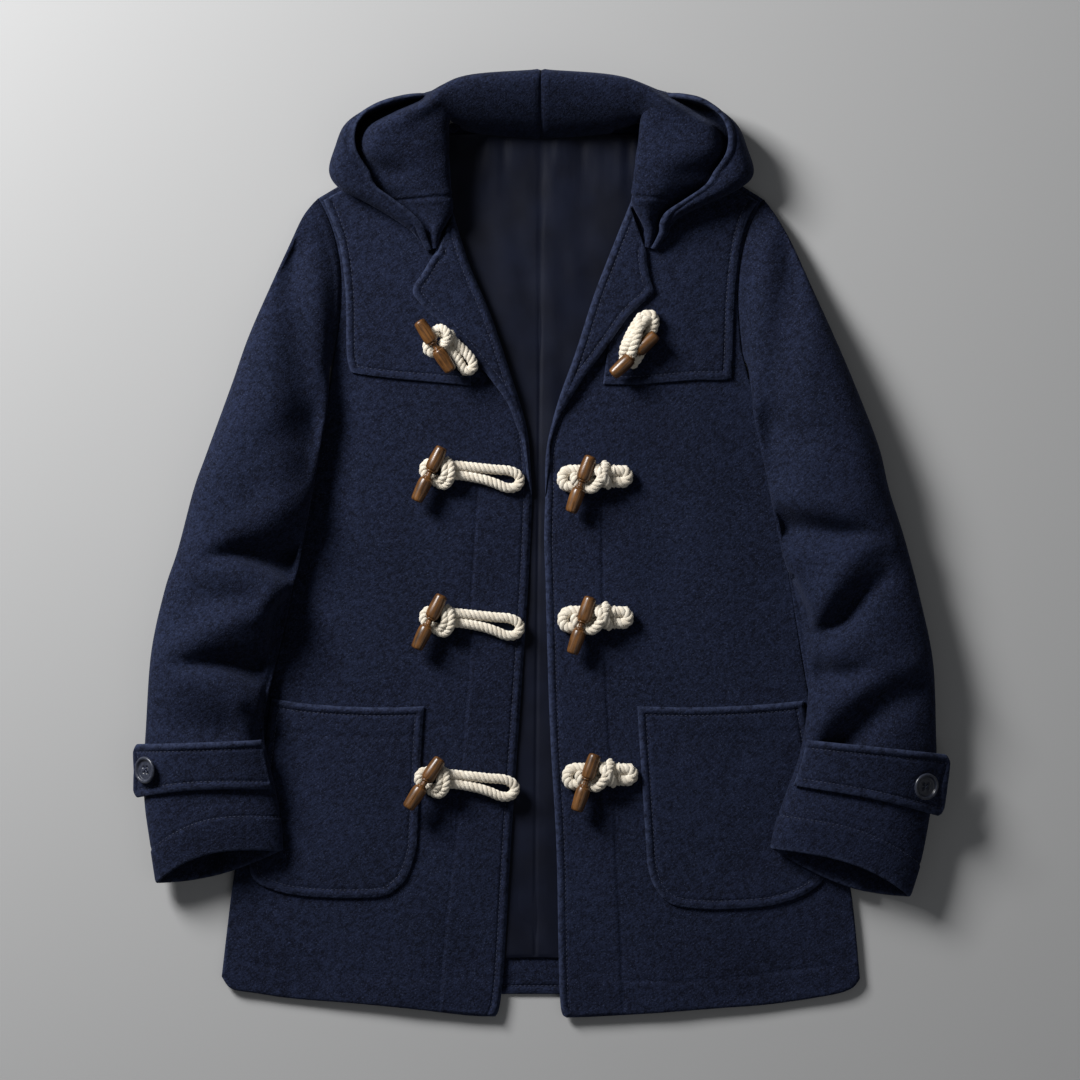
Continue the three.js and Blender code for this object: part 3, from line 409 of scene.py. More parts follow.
finishes = {
    "deepNavy": (.0026, .0036, .0094, 1), "napNavy": (.0112, .0160, .0385, 1),
    "wornNavy": (.036, .047, .092, 1),
    "grain": 560.0, "napHeight": .0014, "napSheen": .07,
    "liningDeep": (.0016, .0022, .0062, 1), "liningLight": (.0052, .0074, .0185, 1),
    "ropeLight": (.93, .87, .75, 1), "ropeDeep": (.42, .34, .24, 1),
    "woodLight": (.152, .065, .018, 1), "woodDark": (.026, .0105, .0032, 1),
    "buttonDark": (.012, .015, .026, 1), "buttonSwirl": (.034, .038, .056, 1),
    "thread": (.0105, .0145, .034, 1),
}


def node(tree, kind, inputs=None, **settings):
    made = tree.nodes.new(kind)
    for key, value in settings.items():
        setattr(made, key, value)
    for key, value in (inputs or {}).items():
        if isinstance(value, bpy.types.NodeSocket):
            tree.links.new(value, made.inputs[key])
        else:
            made.inputs[key].default_value = value
    return made


def blendColour(tree, share, a, b):
    return node(tree, "ShaderNodeMix", {0: share, 6: a, 7: b}, data_type="RGBA").outputs[2]


def spread(tree, value, low, high):  # stretches the middle of a noise to 0..1
    made = node(tree, "ShaderNodeMapRange", {"Value": value, "From Min": low, "From Max": high})
    return made.outputs["Result"]


def sums(tree, operation, a, b):
    return node(tree, "ShaderNodeMath", {0: a, 1: b}, operation=operation).outputs[0]


def shaderGroup(name, wanted, given):
    group = bpy.data.node_groups.new(name, "ShaderNodeTree")
    for label, kind, value in wanted:
        socket = group.interface.new_socket(name=label, in_out="INPUT", socket_type=kind)
        if value is not None:
            socket.default_value = value
    for label, kind in given:
        group.interface.new_socket(name=label, in_out="OUTPUT", socket_type=kind)
    start = group.nodes.new("NodeGroupInput")
    end = group.nodes.new("NodeGroupOutput")
    return group, start.outputs, end.inputs


def makeNapGroup():  # fulled wool: matted fibre lumps, a faint diagonal under them, pale flecks, rubbed edges
    group, given, out = shaderGroup("woolNap", [
        ("Vector", "NodeSocketVector", None), ("Deep", "NodeSocketColor", (0, 0, 0, 1)),
        ("Nap", "NodeSocketColor", (0, 0, 0, 1)), ("Worn", "NodeSocketColor", (0, 0, 0, 1)),
        ("Grain", "NodeSocketFloat", 800.0), ("Wear", "NodeSocketFloat", 0.0)],
        [("Colour", "NodeSocketColor"), ("Height", "NodeSocketFloat"), ("Roughness", "NodeSocketFloat")])
    links = group.links
    def noise(scale, detail, rough=.6):
        size = sums(group, "MULTIPLY", given["Grain"], scale)
        return node(group, "ShaderNodeTexNoise", {"Vector": given["Vector"], "Scale": size,
                                                  "Detail": detail, "Roughness": rough}).outputs["Fac"]
    fine, lumps, cloud, fleck = noise(1, 4, .68), noise(.36, 3), noise(.022, 3), noise(1.45, 2, .5)
    turned = node(group, "ShaderNodeMapping", {"Vector": given["Vector"],
                                               "Rotation": (0, 0, math.radians(52))})
    twill = node(group, "ShaderNodeTexWave", {
        "Vector": turned.outputs[0], "Scale": sums(group, "MULTIPLY", given["Grain"], .17),
        "Distortion": 7.0, "Detail": 2.0, "Detail Scale": 1.6}).outputs["Fac"]
    tone = sums(group, "ADD", sums(group, "MULTIPLY", fine, .5), sums(group, "MULTIPLY", lumps, .36))
    tone = sums(group, "ADD", tone, sums(group, "MULTIPLY", twill, .045))
    tone = sums(group, "ADD", tone, sums(group, "MULTIPLY", cloud, .12))
    base = blendColour(group, spread(group, tone, .43, .62), given["Deep"], given["Nap"])
    pale = sums(group, "MULTIPLY", spread(group, fleck, .6, .72), .55)
    base = blendColour(group, pale, base, given["Worn"])
    rubbed = sums(group, "MULTIPLY", given["Wear"], spread(group, lumps, .3, .6))
    links.new(blendColour(group, sums(group, "MULTIPLY", rubbed, .55), base, given["Worn"]), out["Colour"])
    height = sums(group, "ADD", sums(group, "MULTIPLY", fine, .6), sums(group, "MULTIPLY", lumps, .5))
    links.new(sums(group, "ADD", height, sums(group, "MULTIPLY", twill, .06)), out["Height"])
    links.new(sums(group, "SUBTRACT", 1.0, sums(group, "MULTIPLY", fleck, .18)), out["Roughness"])
    return group


def startMaterial(name):
    material = bpy.data.materials.new(name)
    material.use_nodes = True
    tree = material.node_tree
    tree.nodes.clear()
    shader = tree.nodes.new("ShaderNodeBsdfPrincipled")
    output = tree.nodes.new("ShaderNodeOutputMaterial")
    tree.links.new(shader.outputs[0], output.inputs["Surface"])
    place = tree.nodes.new("ShaderNodeTexCoord").outputs["Object"]
    return material, tree, shader, place


def bumped(tree, shader, height, strength, distance):
    made = node(tree, "ShaderNodeBump", {"Height": height, "Strength": strength, "Distance": distance})
    tree.links.new(made.outputs[0], shader.inputs["Normal"])


def makeWool():
    material, tree, shader, place = startMaterial("woolMelton")
    wearAndStrandShade = node(tree, "ShaderNodeAttribute", attribute_name="wearAndStrandShade").outputs["Fac"]
    look = node(tree, "ShaderNodeGroup", {
        "Vector": place, "Wear": wearAndStrandShade, "Deep": finishes["deepNavy"], "Nap": finishes["napNavy"],
        "Worn": finishes["wornNavy"], "Grain": finishes["grain"]}, node_tree=makeNapGroup())
    tree.links.new(look.outputs["Colour"], shader.inputs["Base Color"])
    tree.links.new(look.outputs["Roughness"], shader.inputs["Roughness"])
    shader.inputs["Specular IOR Level"].default_value = .1
    shader.inputs["Sheen Weight"].default_value = finishes["napSheen"]
    shader.inputs["Sheen Roughness"].default_value = .42
    shader.inputs["Sheen Tint"].default_value = (.42, .5, .85, 1)
    bumped(tree, shader, look.outputs["Height"], .75, finishes["napHeight"])
    return material


def makeLining():  # fine twill satin with slubs
    material, tree, shader, place = startMaterial("liningSatin")
    turned = node(tree, "ShaderNodeMapping", {"Vector": place, "Rotation": (0, 0, math.radians(38))})
    rib = node(tree, "ShaderNodeTexWave", {"Vector": turned.outputs[0], "Scale": 520.0,
                                           "Distortion": .6, "Detail": 1.0}).outputs["Fac"]
    slub = node(tree, "ShaderNodeTexNoise", {
        "Vector": node(tree, "ShaderNodeMapping", {"Vector": place, "Scale": (900, 60, 60)}).outputs[0],
        "Scale": 1.0, "Detail": 3.0}).outputs["Fac"]
    cloud = node(tree, "ShaderNodeTexNoise", {"Vector": place, "Scale": 26.0, "Detail": 3.0}).outputs["Fac"]
    tone = sums(tree, "ADD", sums(tree, "MULTIPLY", rib, .25), sums(tree, "MULTIPLY", cloud, .75))
    tree.links.new(blendColour(tree, spread(tree, tone, .3, .75), finishes["liningDeep"],
                               finishes["liningLight"]), shader.inputs["Base Color"])
    tree.links.new(sums(tree, "ADD", .42, sums(tree, "MULTIPLY", slub, .22)), shader.inputs["Roughness"])
    shader.inputs["Specular IOR Level"].default_value = .1
    bumped(tree, shader, sums(tree, "ADD", rib, slub), .25, .0002)
    return material


def makeRope():  # soft cotton: yarns along each strand, pale, with painted shade in the hollows between strands
    material, tree, shader, place = startMaterial("ropeCotton")
    along = node(tree, "ShaderNodeUVMap", uv_map="UVMap").outputs[0]
    yarn = node(tree, "ShaderNodeTexWave", {"Vector": along, "Scale": 1.6, "Distortion": 1.2, "Detail": 2.0},
                bands_direction="DIAGONAL").outputs["Fac"]
    fibre = node(tree, "ShaderNodeTexNoise", {"Vector": place, "Scale": 2600.0, "Detail": 4.0,
                                              "Roughness": .7}).outputs["Fac"]
    cloud = node(tree, "ShaderNodeTexNoise", {"Vector": place, "Scale": 160.0, "Detail": 3.0}).outputs["Fac"]
    wearAndStrandShade = node(tree, "ShaderNodeAttribute", attribute_name="wearAndStrandShade").outputs["Fac"]
    tone = sums(tree, "ADD", sums(tree, "MULTIPLY", yarn, .28), sums(tree, "MULTIPLY", fibre, .4))
    tone = sums(tree, "ADD", tone, sums(tree, "MULTIPLY", cloud, .35))
    clean = blendColour(tree, spread(tree, tone, .3, .68), finishes["ropeDeep"], finishes["ropeLight"])
    # painted shade: the colour goes towards ropeDeep where the strands turn into the hollows between them
    tree.links.new(blendColour(tree, sums(tree, "MULTIPLY", wearAndStrandShade, .85), clean, finishes["ropeDeep"]),
                   shader.inputs["Base Color"])
    shader.inputs["Roughness"].default_value = .88
    shader.inputs["Sheen Weight"].default_value = .25
    shader.inputs["Specular IOR Level"].default_value = .25
    bumped(tree, shader, sums(tree, "ADD", yarn, fibre), .5, .0004)
    return material


def makeWood():  # varnished hardwood, its grain along the toggle
    material, tree, shader, place = startMaterial("toggleWood")
    grain = node(tree, "ShaderNodeAttribute", attribute_name="grain").outputs["Vector"]
    longGrain = node(tree, "ShaderNodeMapping", {"Vector": grain, "Scale": (520, 520, 26)}).outputs[0]
    ring = node(tree, "ShaderNodeTexNoise", {"Vector": longGrain, "Scale": 1.0, "Detail": 5.0,
                                             "Roughness": .62, "Distortion": .5}).outputs["Fac"]
    pore = node(tree, "ShaderNodeTexNoise", {
        "Vector": node(tree, "ShaderNodeMapping", {"Vector": grain, "Scale": (2600, 2600, 110)}).outputs[0],
        "Scale": 1.0, "Detail": 3.0}).outputs["Fac"]
    cloud = node(tree, "ShaderNodeTexNoise", {"Vector": grain, "Scale": 90.0, "Detail": 2.0}).outputs["Fac"]
    tone = sums(tree, "ADD", sums(tree, "MULTIPLY", ring, .7), sums(tree, "MULTIPLY", cloud, .3))
    tone = sums(tree, "SUBTRACT", tone, sums(tree, "MULTIPLY", spread(tree, pore, .58, .72), .16))
    tree.links.new(blendColour(tree, spread(tree, tone, .36, .6), finishes["woodDark"],
                               finishes["woodLight"]), shader.inputs["Base Color"])
    tree.links.new(sums(tree, "ADD", .24, sums(tree, "MULTIPLY", pore, .2)), shader.inputs["Roughness"])
    shader.inputs["Specular IOR Level"].default_value = .35
    shader.inputs["Coat Weight"].default_value = .22
    shader.inputs["Coat Roughness"].default_value = .2
    bumped(tree, shader, pore, .12, .0003)
    return material


def makeButton():
    material, tree, shader, place = startMaterial("buttonHorn")
    swirl = node(tree, "ShaderNodeTexNoise", {"Vector": place, "Scale": 240.0, "Detail": 4.0,
                                              "Distortion": 1.4}).outputs["Fac"]
    tree.links.new(blendColour(tree, spread(tree, swirl, .4, .68), finishes["buttonDark"],
                               finishes["buttonSwirl"]), shader.inputs["Base Color"])
    tree.links.new(sums(tree, "ADD", .26, sums(tree, "MULTIPLY", swirl, .16)), shader.inputs["Roughness"])
    bumped(tree, shader, swirl, .05, .0003)
    return material


def makeThread():
    material, tree, shader, place = startMaterial("threadNavy")
    ply = node(tree, "ShaderNodeTexNoise", {"Vector": place, "Scale": 3200.0, "Detail": 2.0}).outputs["Fac"]
    light = tuple(v * 1.7 for v in finishes["thread"][:3]) + (1,)
    tree.links.new(blendColour(tree, spread(tree, ply, .35, .65), finishes["thread"], light),
                   shader.inputs["Base Color"])
    shader.inputs["Roughness"].default_value = .6
    bumped(tree, shader, ply, .3, .0002)
    return material


wool, lining, ropeCotton, toggleWood = makeWool(), makeLining(), makeRope(), makeWood()
buttonHorn, threadNavy = makeButton(), makeThread()
print("stage: materials ready")


def bowed(ends, share, bow, side):  # point between two ends, bowed towards the shoulder
    x0, y0, x1, y1 = ends
    length = np.hypot(x1 - x0, y1 - y0)
    turn = 1 if side == "right" else -1
    amount = bow * np.sin(math.pi * share ** .85)
    return (mix(x0, x1, share) - (y1 - y0) / length * turn * amount,
            mix(y0, y1, share) + (x1 - x0) / length * turn * amount)


def armhole(side, share):
    it = sides[side]
    return bowed((*it["shoulder"], *it["underarm"]), share, it["armholeBow"], side)


outerEdges, frontEdges = {}, {}
for side, it in sides.items():
    outerEdges[side] = [armhole(side, k / 8) for k in range(9)] + it["sideSeam"]
    frontEdges[side] = it["neck"] + it["roll"] + it["edge"]

# Soft dents and swells of the body: a line, and widths and heights at its two ends
bodyFolds = {
    "right": [
        {"line": [(-178, 150), (-184, 90), (-198, 10), (-214, -70)], "width": (14, 20), "rise": (-2.2, -.4)},
        {"line": [(-150, 120), (-160, 40), (-170, -60), (-180, -130)], "width": (26, 26), "rise": (.6, 1.5)},
        {"line": [(-118, 130), (-112, 60), (-104, -30)], "width": (22, 22), "rise": (-1.2, -.5)},
        {"line": [(-70, 40), (-74, -20), (-78, -60)], "width": (16, 20), "rise": (.8, .8)},
        {"line": [(-100, -325), (-104, -370), (-112, -425)], "width": (16, 26), "rise": (.6, 2.0)},
        {"line": [(-190, -325), (-200, -370), (-214, -420)], "width": (20, 32), "rise": (-.5, -1.6)},
    ],
    "left": [
        {"line": [(180, 150), (190, 80), (206, 0), (222, -80)], "width": (14, 20), "rise": (-2.2, -.4)},
        {"line": [(150, 120), (158, 30), (172, -60), (186, -130)], "width": (28, 24), "rise": (.6, 1.5)},
        {"line": [(112, 130), (108, 50), (112, -40)], "width": (22, 22), "rise": (-1.1, -.5)},
        {"line": [(76, 30), (80, -20), (82, -70)], "width": (18, 18), "rise": (.8, .8)},
        {"line": [(100, -335), (106, -375), (112, -425)], "width": (16, 24), "rise": (.5, 1.8)},
        {"line": [(200, -335), (214, -375), (228, -418)], "width": (20, 28), "rise": (-.5, -1.7)},
    ],
}


def bodyRelief(side, x, y):
    even = softNoise(x, y, 74, 3) * 1.1 + softNoise(x, y, 33, 4) * .45
    return even + creases(x, y, bodyFolds[side])


def frontShare(side, x, y):
    inner, outer = lineX(frontEdges[side], y), lineX(outerEdges[side], y)
    return np.clip((x - inner) / (outer - inner), 0, 1)


def frontUnder(side, x, y, relief=True):
    share = frontShare(side, x, y)
    level = mix(onLining, onBack, step(.5, .9, share))
    fade = step(-420, -300, y) * step(370, 300, y)
    height = level + coat["loft"] * np.sin(math.pi * share) ** .8 * fade
    if relief:
        inside = np.sin(math.pi * share) ** .5 * step(385, 330, y) * step(-438, -395, y)
        height = height + (bodyRelief(side, x, y) + .9) * inside * .8
    return np.maximum(height, onBack)


def frontTop(side, x, y):
    return frontUnder(side, x, y) + coat["front"]


def layPiece(name, edges, rows, columns, underZ, thick, stitched, lines=(), seed=1, more=None,
             material=None):
    grid = coonsGrid(edges["start"], edges["finish"], edges["top"], edges["bottom"], rows, columns)
    x, y = grid[..., 0], grid[..., 1]
    rim, hem, run = (np.full(x.shape, 1e9) for _ in range(3))
    gaps = {}
    for k, label in enumerate(("start", "finish", "top", "bottom")):
        gap, along, _ = fromLine(x, y, edges[label], 110)
        gaps[label] = gap
        rim = np.minimum(rim, gap)
        if label in stitched:
            run = np.where(gap < hem, along + 500 * k, run)
            hem = np.minimum(hem, gap)
    for border in (np.s_[0, :], np.s_[-1, :], np.s_[:, 0], np.s_[:, -1]):
        rim[border] = 0
    relief = stitchedEdge(hem, run, seed) if stitched else np.zeros(x.shape)
    for k, line in enumerate(lines):
        gap, along, _ = fromLine(x, y, line, 90)
        relief += stitchLine(gap, along, seed + 40 + k)
    relief += softNoise(x, y, 9, seed + 5) * .1
    if more is not None:
        relief += more(x, y)
    fullness = .14 + .86 * roundShare(rim, thick * .62)
    under = underZ(x, y)
    middle = under + thick / 2
    top = middle + thick / 2 * fullness + relief * step(.4, 3.2, rim)
    low = middle - thick / 2 * fullness
    surface, upright = np.dstack([x, y, top]), np.zeros(grid.shape[:2] + (3,)) + (0, 0, 1.0)
    inset = coat["stitchInset"]
    for label in stitched:                     # each edge in turn is brought to the rows' start
        turned = {"start": lambda a: a, "finish": lambda a: a[:, ::-1],
                  "top": lambda a: np.swapaxes(a, 0, 1),
                  "bottom": lambda a: np.swapaxes(a[::-1], 0, 1)}[label]
        addRun(turned(surface), turned(upright), turned(gaps[label]), inset,
               turned(np.abs(hem - gaps[label]) < 1.2) & turned(rim > inset - 1.5))
    wearAndStrandShade = np.exp(-(rim / 2.4) ** 2) * (.35 + .65 * (hem < 12))
    return wallPiece(name, surface, np.dstack([x, y, low]), wearAndStrandShade, material or wool, wornInside=.5)


fineness = 1.15   # longer steps while trying things


def sharesFor(length, spacing):
    return edgeShares(length, spacing * fineness)


def finer(shares, low, high, length, spacing):  # shorter steps over part of a side
    kept = shares[(shares < low) | (shares > high)]
    return np.unique(np.concatenate([kept, np.arange(low, high, spacing * fineness / length)]))


def makeFront(side):
    it = sides[side]
    bottom = [frontEdges[side][-1]] + it["hem"] + [outerEdges[side][-1]]
    edges = {"start": frontEdges[side], "finish": outerEdges[side],
             "top": it["shoulderSeam"] + [it["shoulder"]], "bottom": bottom}
    facing = it["facing"]
    outward = -1 if side == "right" else 1
    def layers(x, y):  # the facing's extra layer by the front edge, and the turned-up hem
        beyond = (x - lineX(facing, y)) * outward
        lower = y - np.interp(x * outward, *hemLine(side, outward))
        return (coat["facingLayer"] * step(.9, -.9, beyond) * step(75, 55, y)
                + coat["hemLayer"] * step(1.5, -1.5, lower))
    rows = finer(sharesFor(850, 3.2), .925, .965, 805, 1.3)       # about the hem's stitching
    columns = finer(sharesFor(230, 2.7), .11, .25, 255, 1.2)      # about the facing's seam
    return layPiece("front_" + side + "_cloth", edges, rows, columns, lambda x, y: frontUnder(side, x, y),
                    coat["front"], ("start",), [facing, it["hemStitch"]],
                    seed=11 if side == "right" else 61, more=layers)


def hemLine(side, outward):
    p = np.array(sides[side]["hemStitch"], float)
    p[:, 0] *= outward
    p = p[np.argsort(p[:, 0])]
    return p[:, 0], p[:, 1]


def makeYoke(side):
    it = sides[side]
    edges = {"start": it["yokeInner"], "finish": it["yokeOuter"],
             "top": [it["yokeInner"][0], it["yokeOuter"][0]], "bottom": it["yokeFoot"]}
    return layPiece("yoke_" + side + "_cloth", edges, sharesFor(220, 2.4), sharesFor(105, 2.4),
                    lambda x, y: frontTop(side, x, y) + coat["seam"], coat["yoke"],
                    ("finish", "bottom"), seed=121 if side == "right" else 131)


def makePocket(side):
    it = sides[side]
    edges = {"start": it["pocketInner"], "finish": it["pocketOuter"], "top": it["pocketMouth"],
             "bottom": it["pocketFoot"]}
    mouth = it["pocketMouth"]
    hem = [(x, y - coat["pocketHem"]) for x, y in mouth]
    def bag(x, y):  # the pocket swells a little, most under its open mouth
        gap, _, _ = fromLine(x, y, mouth, 40)
        across = np.sin(math.pi * np.clip((np.abs(x) - 92) / 165, 0, 1)) ** .7
        doubled = step(coat["pocketHem"] + 1, coat["pocketHem"] - 1, gap)
        return 1.3 * across * np.exp(-((gap - 8) / 60) ** 2) + .4 * doubled
    return layPiece("pocket_" + side + "_cloth", edges, sharesFor(175, 2.4), sharesFor(155, 2.4),
                    lambda x, y: frontTop(side, x, y) + coat["seam"], coat["pocket"],
                    ("start", "finish", "top", "bottom"), [hem], seed=141 if side == "right" else 151,
                    more=bag)


def makeLapel(side):
    it = sides[side]
    edges = {"start": it["lapelEdge"], "finish": it["roll"],
             "top": [it["lapelEdge"][0], it["roll"][0]], "bottom": [it["lapelEdge"][-1], it["roll"][-1]]}
    rows, columns = sharesFor(300, 2.6), sharesFor(70, 2.2)
    def under(x, y):
        overYoke = (coat["yoke"] + coat["seam"]) * step(118, 142, y)
        gap, _, _ = fromLine(x, y, it["roll"], 80)   # the fold turns down to the front's edge
        turn = 1 - roundShare(gap, coat["lapelTurn"])
        return frontTop(side, x, y) + coat["seam"] + overYoke - coat["lapelDrop"] * turn
    return layPiece("lapel_" + side + "_cloth", edges, rows, columns, under, coat["lapel"],
                    ("start", "finish"), seed=161 if side == "right" else 171)


def makeBack():
    right, left = sides["right"], sides["left"]
    edges = {"start": outerEdges["right"], "finish": outerEdges["left"],
             "top": [right["shoulder"], right["shoulderSeam"][1], (-82, 381), (3, 377), (94, 381),
                     left["shoulderSeam"][1], left["shoulder"]],
             "bottom": [(-285, -388), (-219, -400), (-115, -404), (3, -404), (120, -405), (220, -402),
                        (291, -390)]}
    return layPiece("back_panel_cloth", edges, sharesFor(760, 8), sharesFor(470, 8),
                    lambda x, y: 0 * x, coat["back"], ("bottom",), seed=181)


def makeBackLining():
    heights = [372, 340, 300, 250, 190, 120, 40, -80, -200, -300, -372]
    start = [(lineX(frontEdges["right"], y) - 18, y) for y in heights]
    finish = [(lineX(frontEdges["left"], y) + 18, y) for y in heights]
    edges = {"start": start, "finish": finish, "top": [start[0], (3, 373), finish[0]],
             "bottom": [start[-1], (-2, -371), finish[-1]]}
    def wrinkles(x, y):  # centre pleat, cross seam, fine gathers under the neck and slack creases
        pleat = -.75 * np.exp(-((x - mix(-2, 3, step(-370, 370, y))) / 1.5) ** 2)
        swell = .8 * np.exp(-((x - mix(8, 13, step(-370, 370, y))) / 9) ** 2)
        seam = -.5 * np.exp(-((y + 376) / 1.4) ** 2)
        gathers = softNoise(x, y * .12, 7, 191) * step(300, 360, y) * 1.1
        slack = softNoise(x * .45 + y * .2, y * .1 - x * .3, 11, 192) * .75
        return pleat + swell + seam + gathers + slack + softNoise(x, y, 38, 193) * .8
    return layPiece("back_lining_cloth", edges, sharesFor(750, 5.0), sharesFor(200, 2.4),
                    lambda x, y: onBack + .9 + 0 * x, coat["lining"], (), seed=190, more=wrinkles,
                    material=lining)


body = {"back": makeBack(), "lining": makeBackLining()}
for side in ("right", "left"):
    body["front_" + side] = makeFront(side)
    body["yoke_" + side] = makeYoke(side)
    body["pocket_" + side] = makePocket(side)
    body["lapel_" + side] = makeLapel(side)
print("stage: body made")

# Folds of the sleeves as they lie: a line from its tip to the sleeve's inner edge, widths and heights at
# its two ends (negative is a trough), and the share of the width on its left and right
sleeveFolds = {
    "right": [
        {"line": [(-310, -6), (-299, 1), (-268, 16), (-236, 29), (-212, 38)], "width": (11, 17),
         "rise": (1.2, 5.5), "right": .7},
        {"line": [(-296, -9), (-268, -5), (-245, -8), (-220, -12)], "width": (5, 16), "rise": (-2, -15),
         "left": .8},
        {"line": [(-300, -16), (-268, -25), (-247, -36), (-233, -50)], "width": (9, 12), "rise": (1.5, 4.5)},
        {"line": [(-306, -44), (-286, -50), (-262, -52)], "width": (10, 12), "rise": (-2.2, -3.2)},
        {"line": [(-340, -98), (-329, -93), (-297, -78), (-267, -65), (-240, -56)], "width": (9, 14),
         "rise": (1.5, 7), "right": .72},
        {"line": [(-322, -106), (-297, -103), (-268, -104), (-236, -109)], "width": (5, 14),
         "rise": (-2.5, -15), "left": .8},
        {"line": [(-320, -116), (-299, -122), (-275, -135), (-254, -153)], "width": (9, 11),
         "rise": (2, 4.5)},
        {"line": [(-261, -148), (-254, -156), (-246, -170)], "width": (4, 6), "rise": (-4, -8)},
        {"line": [(-226, 266), (-218, 210), (-208, 140), (-206, 70), (-212, 30)], "width": (15, 17),
         "rise": (-6, -5)},
        {"line": [(-262, 190), (-272, 120), (-290, 50)], "width": (20, 22), "rise": (1.5, 3)},
        {"line": [(-344, -150), (-318, -160), (-286, -166)], "width": (13, 14), "rise": (-1.5, -3.4)},
        {"line": [(-262, 88), (-236, 96), (-206, 108)], "width": (11, 16), "rise": (-.6, -3.4)},
    ],
    "left": [
        {"line": [(318, 20), (281, 31), (248, 36), (218, 42)], "width": (11, 16), "rise": (1.2, 5)},
        {"line": [(309, 9), (272, 13), (245, 16), (217, 20)], "width": (6, 14), "rise": (-2.5, -13)},
        {"line": [(322, 6), (300, 2), (283, -12), (263, -36), (250, -62)], "width": (10, 13),
         "rise": (2.5, 7), "left": .9},
        {"line": [(310, -28), (286, -49), (269, -68), (252, -78)], "width": (7, 13), "rise": (-2.5, -12)},
        {"line": [(334, -112), (304, -97), (277, -84), (246, -88)], "width": (10, 12), "rise": (2, 6)},
        {"line": [(296, -110), (277, -116), (259, -115), (238, -106)], "width": (5, 12), "rise": (-3, -14)},
        {"line": [(336, -106), (317, -114), (288, -127), (261, -149), (243, -170)], "width": (9, 13),
         "rise": (1.8, 6.5)},
        {"line": [(336, -130), (310, -143), (288, -164), (272, -182)], "width": (11, 16), "rise": (-2.5, -7)},
        {"line": [(232, 266), (222, 210), (212, 140), (211, 60)], "width": (15, 17), "rise": (-6, -5)},
        {"line": [(270, 190), (282, 120), (300, 60)], "width": (22, 22), "rise": (1.5, 3)},
        {"line": [(268, 92), (242, 98), (212, 106)], "width": (11, 16), "rise": (-.6, -3.4)},
    ],
}
foldScale = {"width": 1.25, "trough": 2.15, "swell": 1.5}
sleeveSteps = {"untilRing": 13, "before": 150, "after": 56, "upper": 72, "under": 44}
overBodyRing = 10.5
sleeveLip = (7.4, 11.4)                        # rings where the inner edge reaches to the body


def sideSupport(side, x, y):  # what a sleeve rests on over the body's side
    seam = np.abs(lineX(outerEdges[side], y))
    onBody = step(seam + 20, seam + 8, np.abs(x))
    onPocket = step(-120, -130, y) * step(-336, -326, y) * step(84, 92, np.abs(x))
    top = frontUnder(side, x, y, False) + coat["front"] + 1.2
    return onBody * (top + onPocket * (coat["pocket"] + coat["seam"] + .6))


def sleevePoint(side, upper, ring, share, folds=True):
    rows = smoothValues(sleeveRings[side], ring)
    ox, oy, ix, iy, crown, bow, underBow = np.moveaxis(rows, -1, 0)
    first, last = sleeveLip
    lip = np.minimum(3 * np.sin(math.pi * np.clip((ring - first) / (last - first), 0, 1)), 1)
    lip = lip * np.clip(np.abs(ix) - np.abs(lineX(outerEdges[side], iy)) - .8, 0, 30)
    ix = ix - np.sign(ix) * lip
    bx, y = bowed((ox, oy, ix, iy), share, bow if upper else underBow, side)
    x = bx + np.sign(bx) * coat["headShift"] * np.clip(1 - ring, 0, 1)
    width = np.hypot(ix - ox, iy - oy)
    full = step(6, 26, crown)
    onBody = step(overBodyRing - 1.5, overBodyRing, ring)
    cloth = coat["sleeve"]
    def rest(atX, atY):
        support = sideSupport(side, atX, atY)
        return np.where(support > 0, support + coat["drape"], 0)
    floor = cloth / 2 + onBody * rest(x, y)
    edge = [np.maximum((crown + cloth / 2) / 2, onBody * (rest(ex, ey) + cloth * 1.5))
            for ex, ey in ((ox, oy), (ix, iy))]
    middle = mix(edge[0], edge[1], share)
    inward = (1 - share) * width
    fromEdge = np.minimum(share * width, np.maximum(inward - lip, 0))
    reach = (.49 if upper else .3) * (width - lip)
    arc = np.sqrt(np.clip(1 - np.clip(1 - fromEdge / reach, 0, 1) ** 2, 0, 1))
    if upper:
        height = mix(mix(crown, (crown + cloth / 2) / 2 + 1.4, np.abs(2 * share - 1) ** 8 * (1 - full)),
                     mix(middle, crown, arc), full)
        if folds:
            soft = softNoise(x, y, 42, 7) * 1.3 + softNoise(x, y, 19, 8) * .4
            held = roundShare(fromEdge, .15 * width) * full * step(15.2, 13.4, ring)
            folded = creases(x, y, sleeveFolds[side], foldScale["width"])
            folded *= np.where(folded < 0, foldScale["trough"], foldScale["swell"])
            height = height + (folded + soft) * held
        low = onBody * rest(x, y) + cloth * 1.5 + 5.5
        height = mix(low, height, np.where(lip > .5, step(lip * .25, lip + 5, inward), 1))
    else:
        height = mix(cloth / 2, mix(middle, floor, arc), full)
        low = onBody * rest(x, y) + cloth * 1.5
        height = mix(np.minimum(low, height), height, np.where(lip > .5, step(0, lip + 4, inward), 1))
    return x, y, height


def tubeNormals(grid):  # outward normals of a closed ring of columns
    around = np.roll(grid, -1, axis=1) - np.roll(grid, 1, axis=1)
    down = np.gradient(grid, axis=0)
    normal = np.cross(around, down)
    return normal / np.maximum(np.linalg.norm(normal, axis=-1, keepdims=True), 1e-9)


def smoothed(normal, times, wrap):
    for _ in range(times):
        up = np.concatenate([normal[:1], normal[:-1]])
        low = np.concatenate([normal[1:], normal[-1:]])
        if wrap:
            a, b = np.roll(normal, 1, axis=1), np.roll(normal, -1, axis=1)
        else:
            a = np.concatenate([normal[:, :1], normal[:, :-1]], axis=1)
            b = np.concatenate([normal[:, 1:], normal[:, -1:]], axis=1)
        normal = normal * .4 + (up + low + a + b) * .15
        normal /= np.maximum(np.linalg.norm(normal, axis=-1, keepdims=True), 1e-9)
    return normal


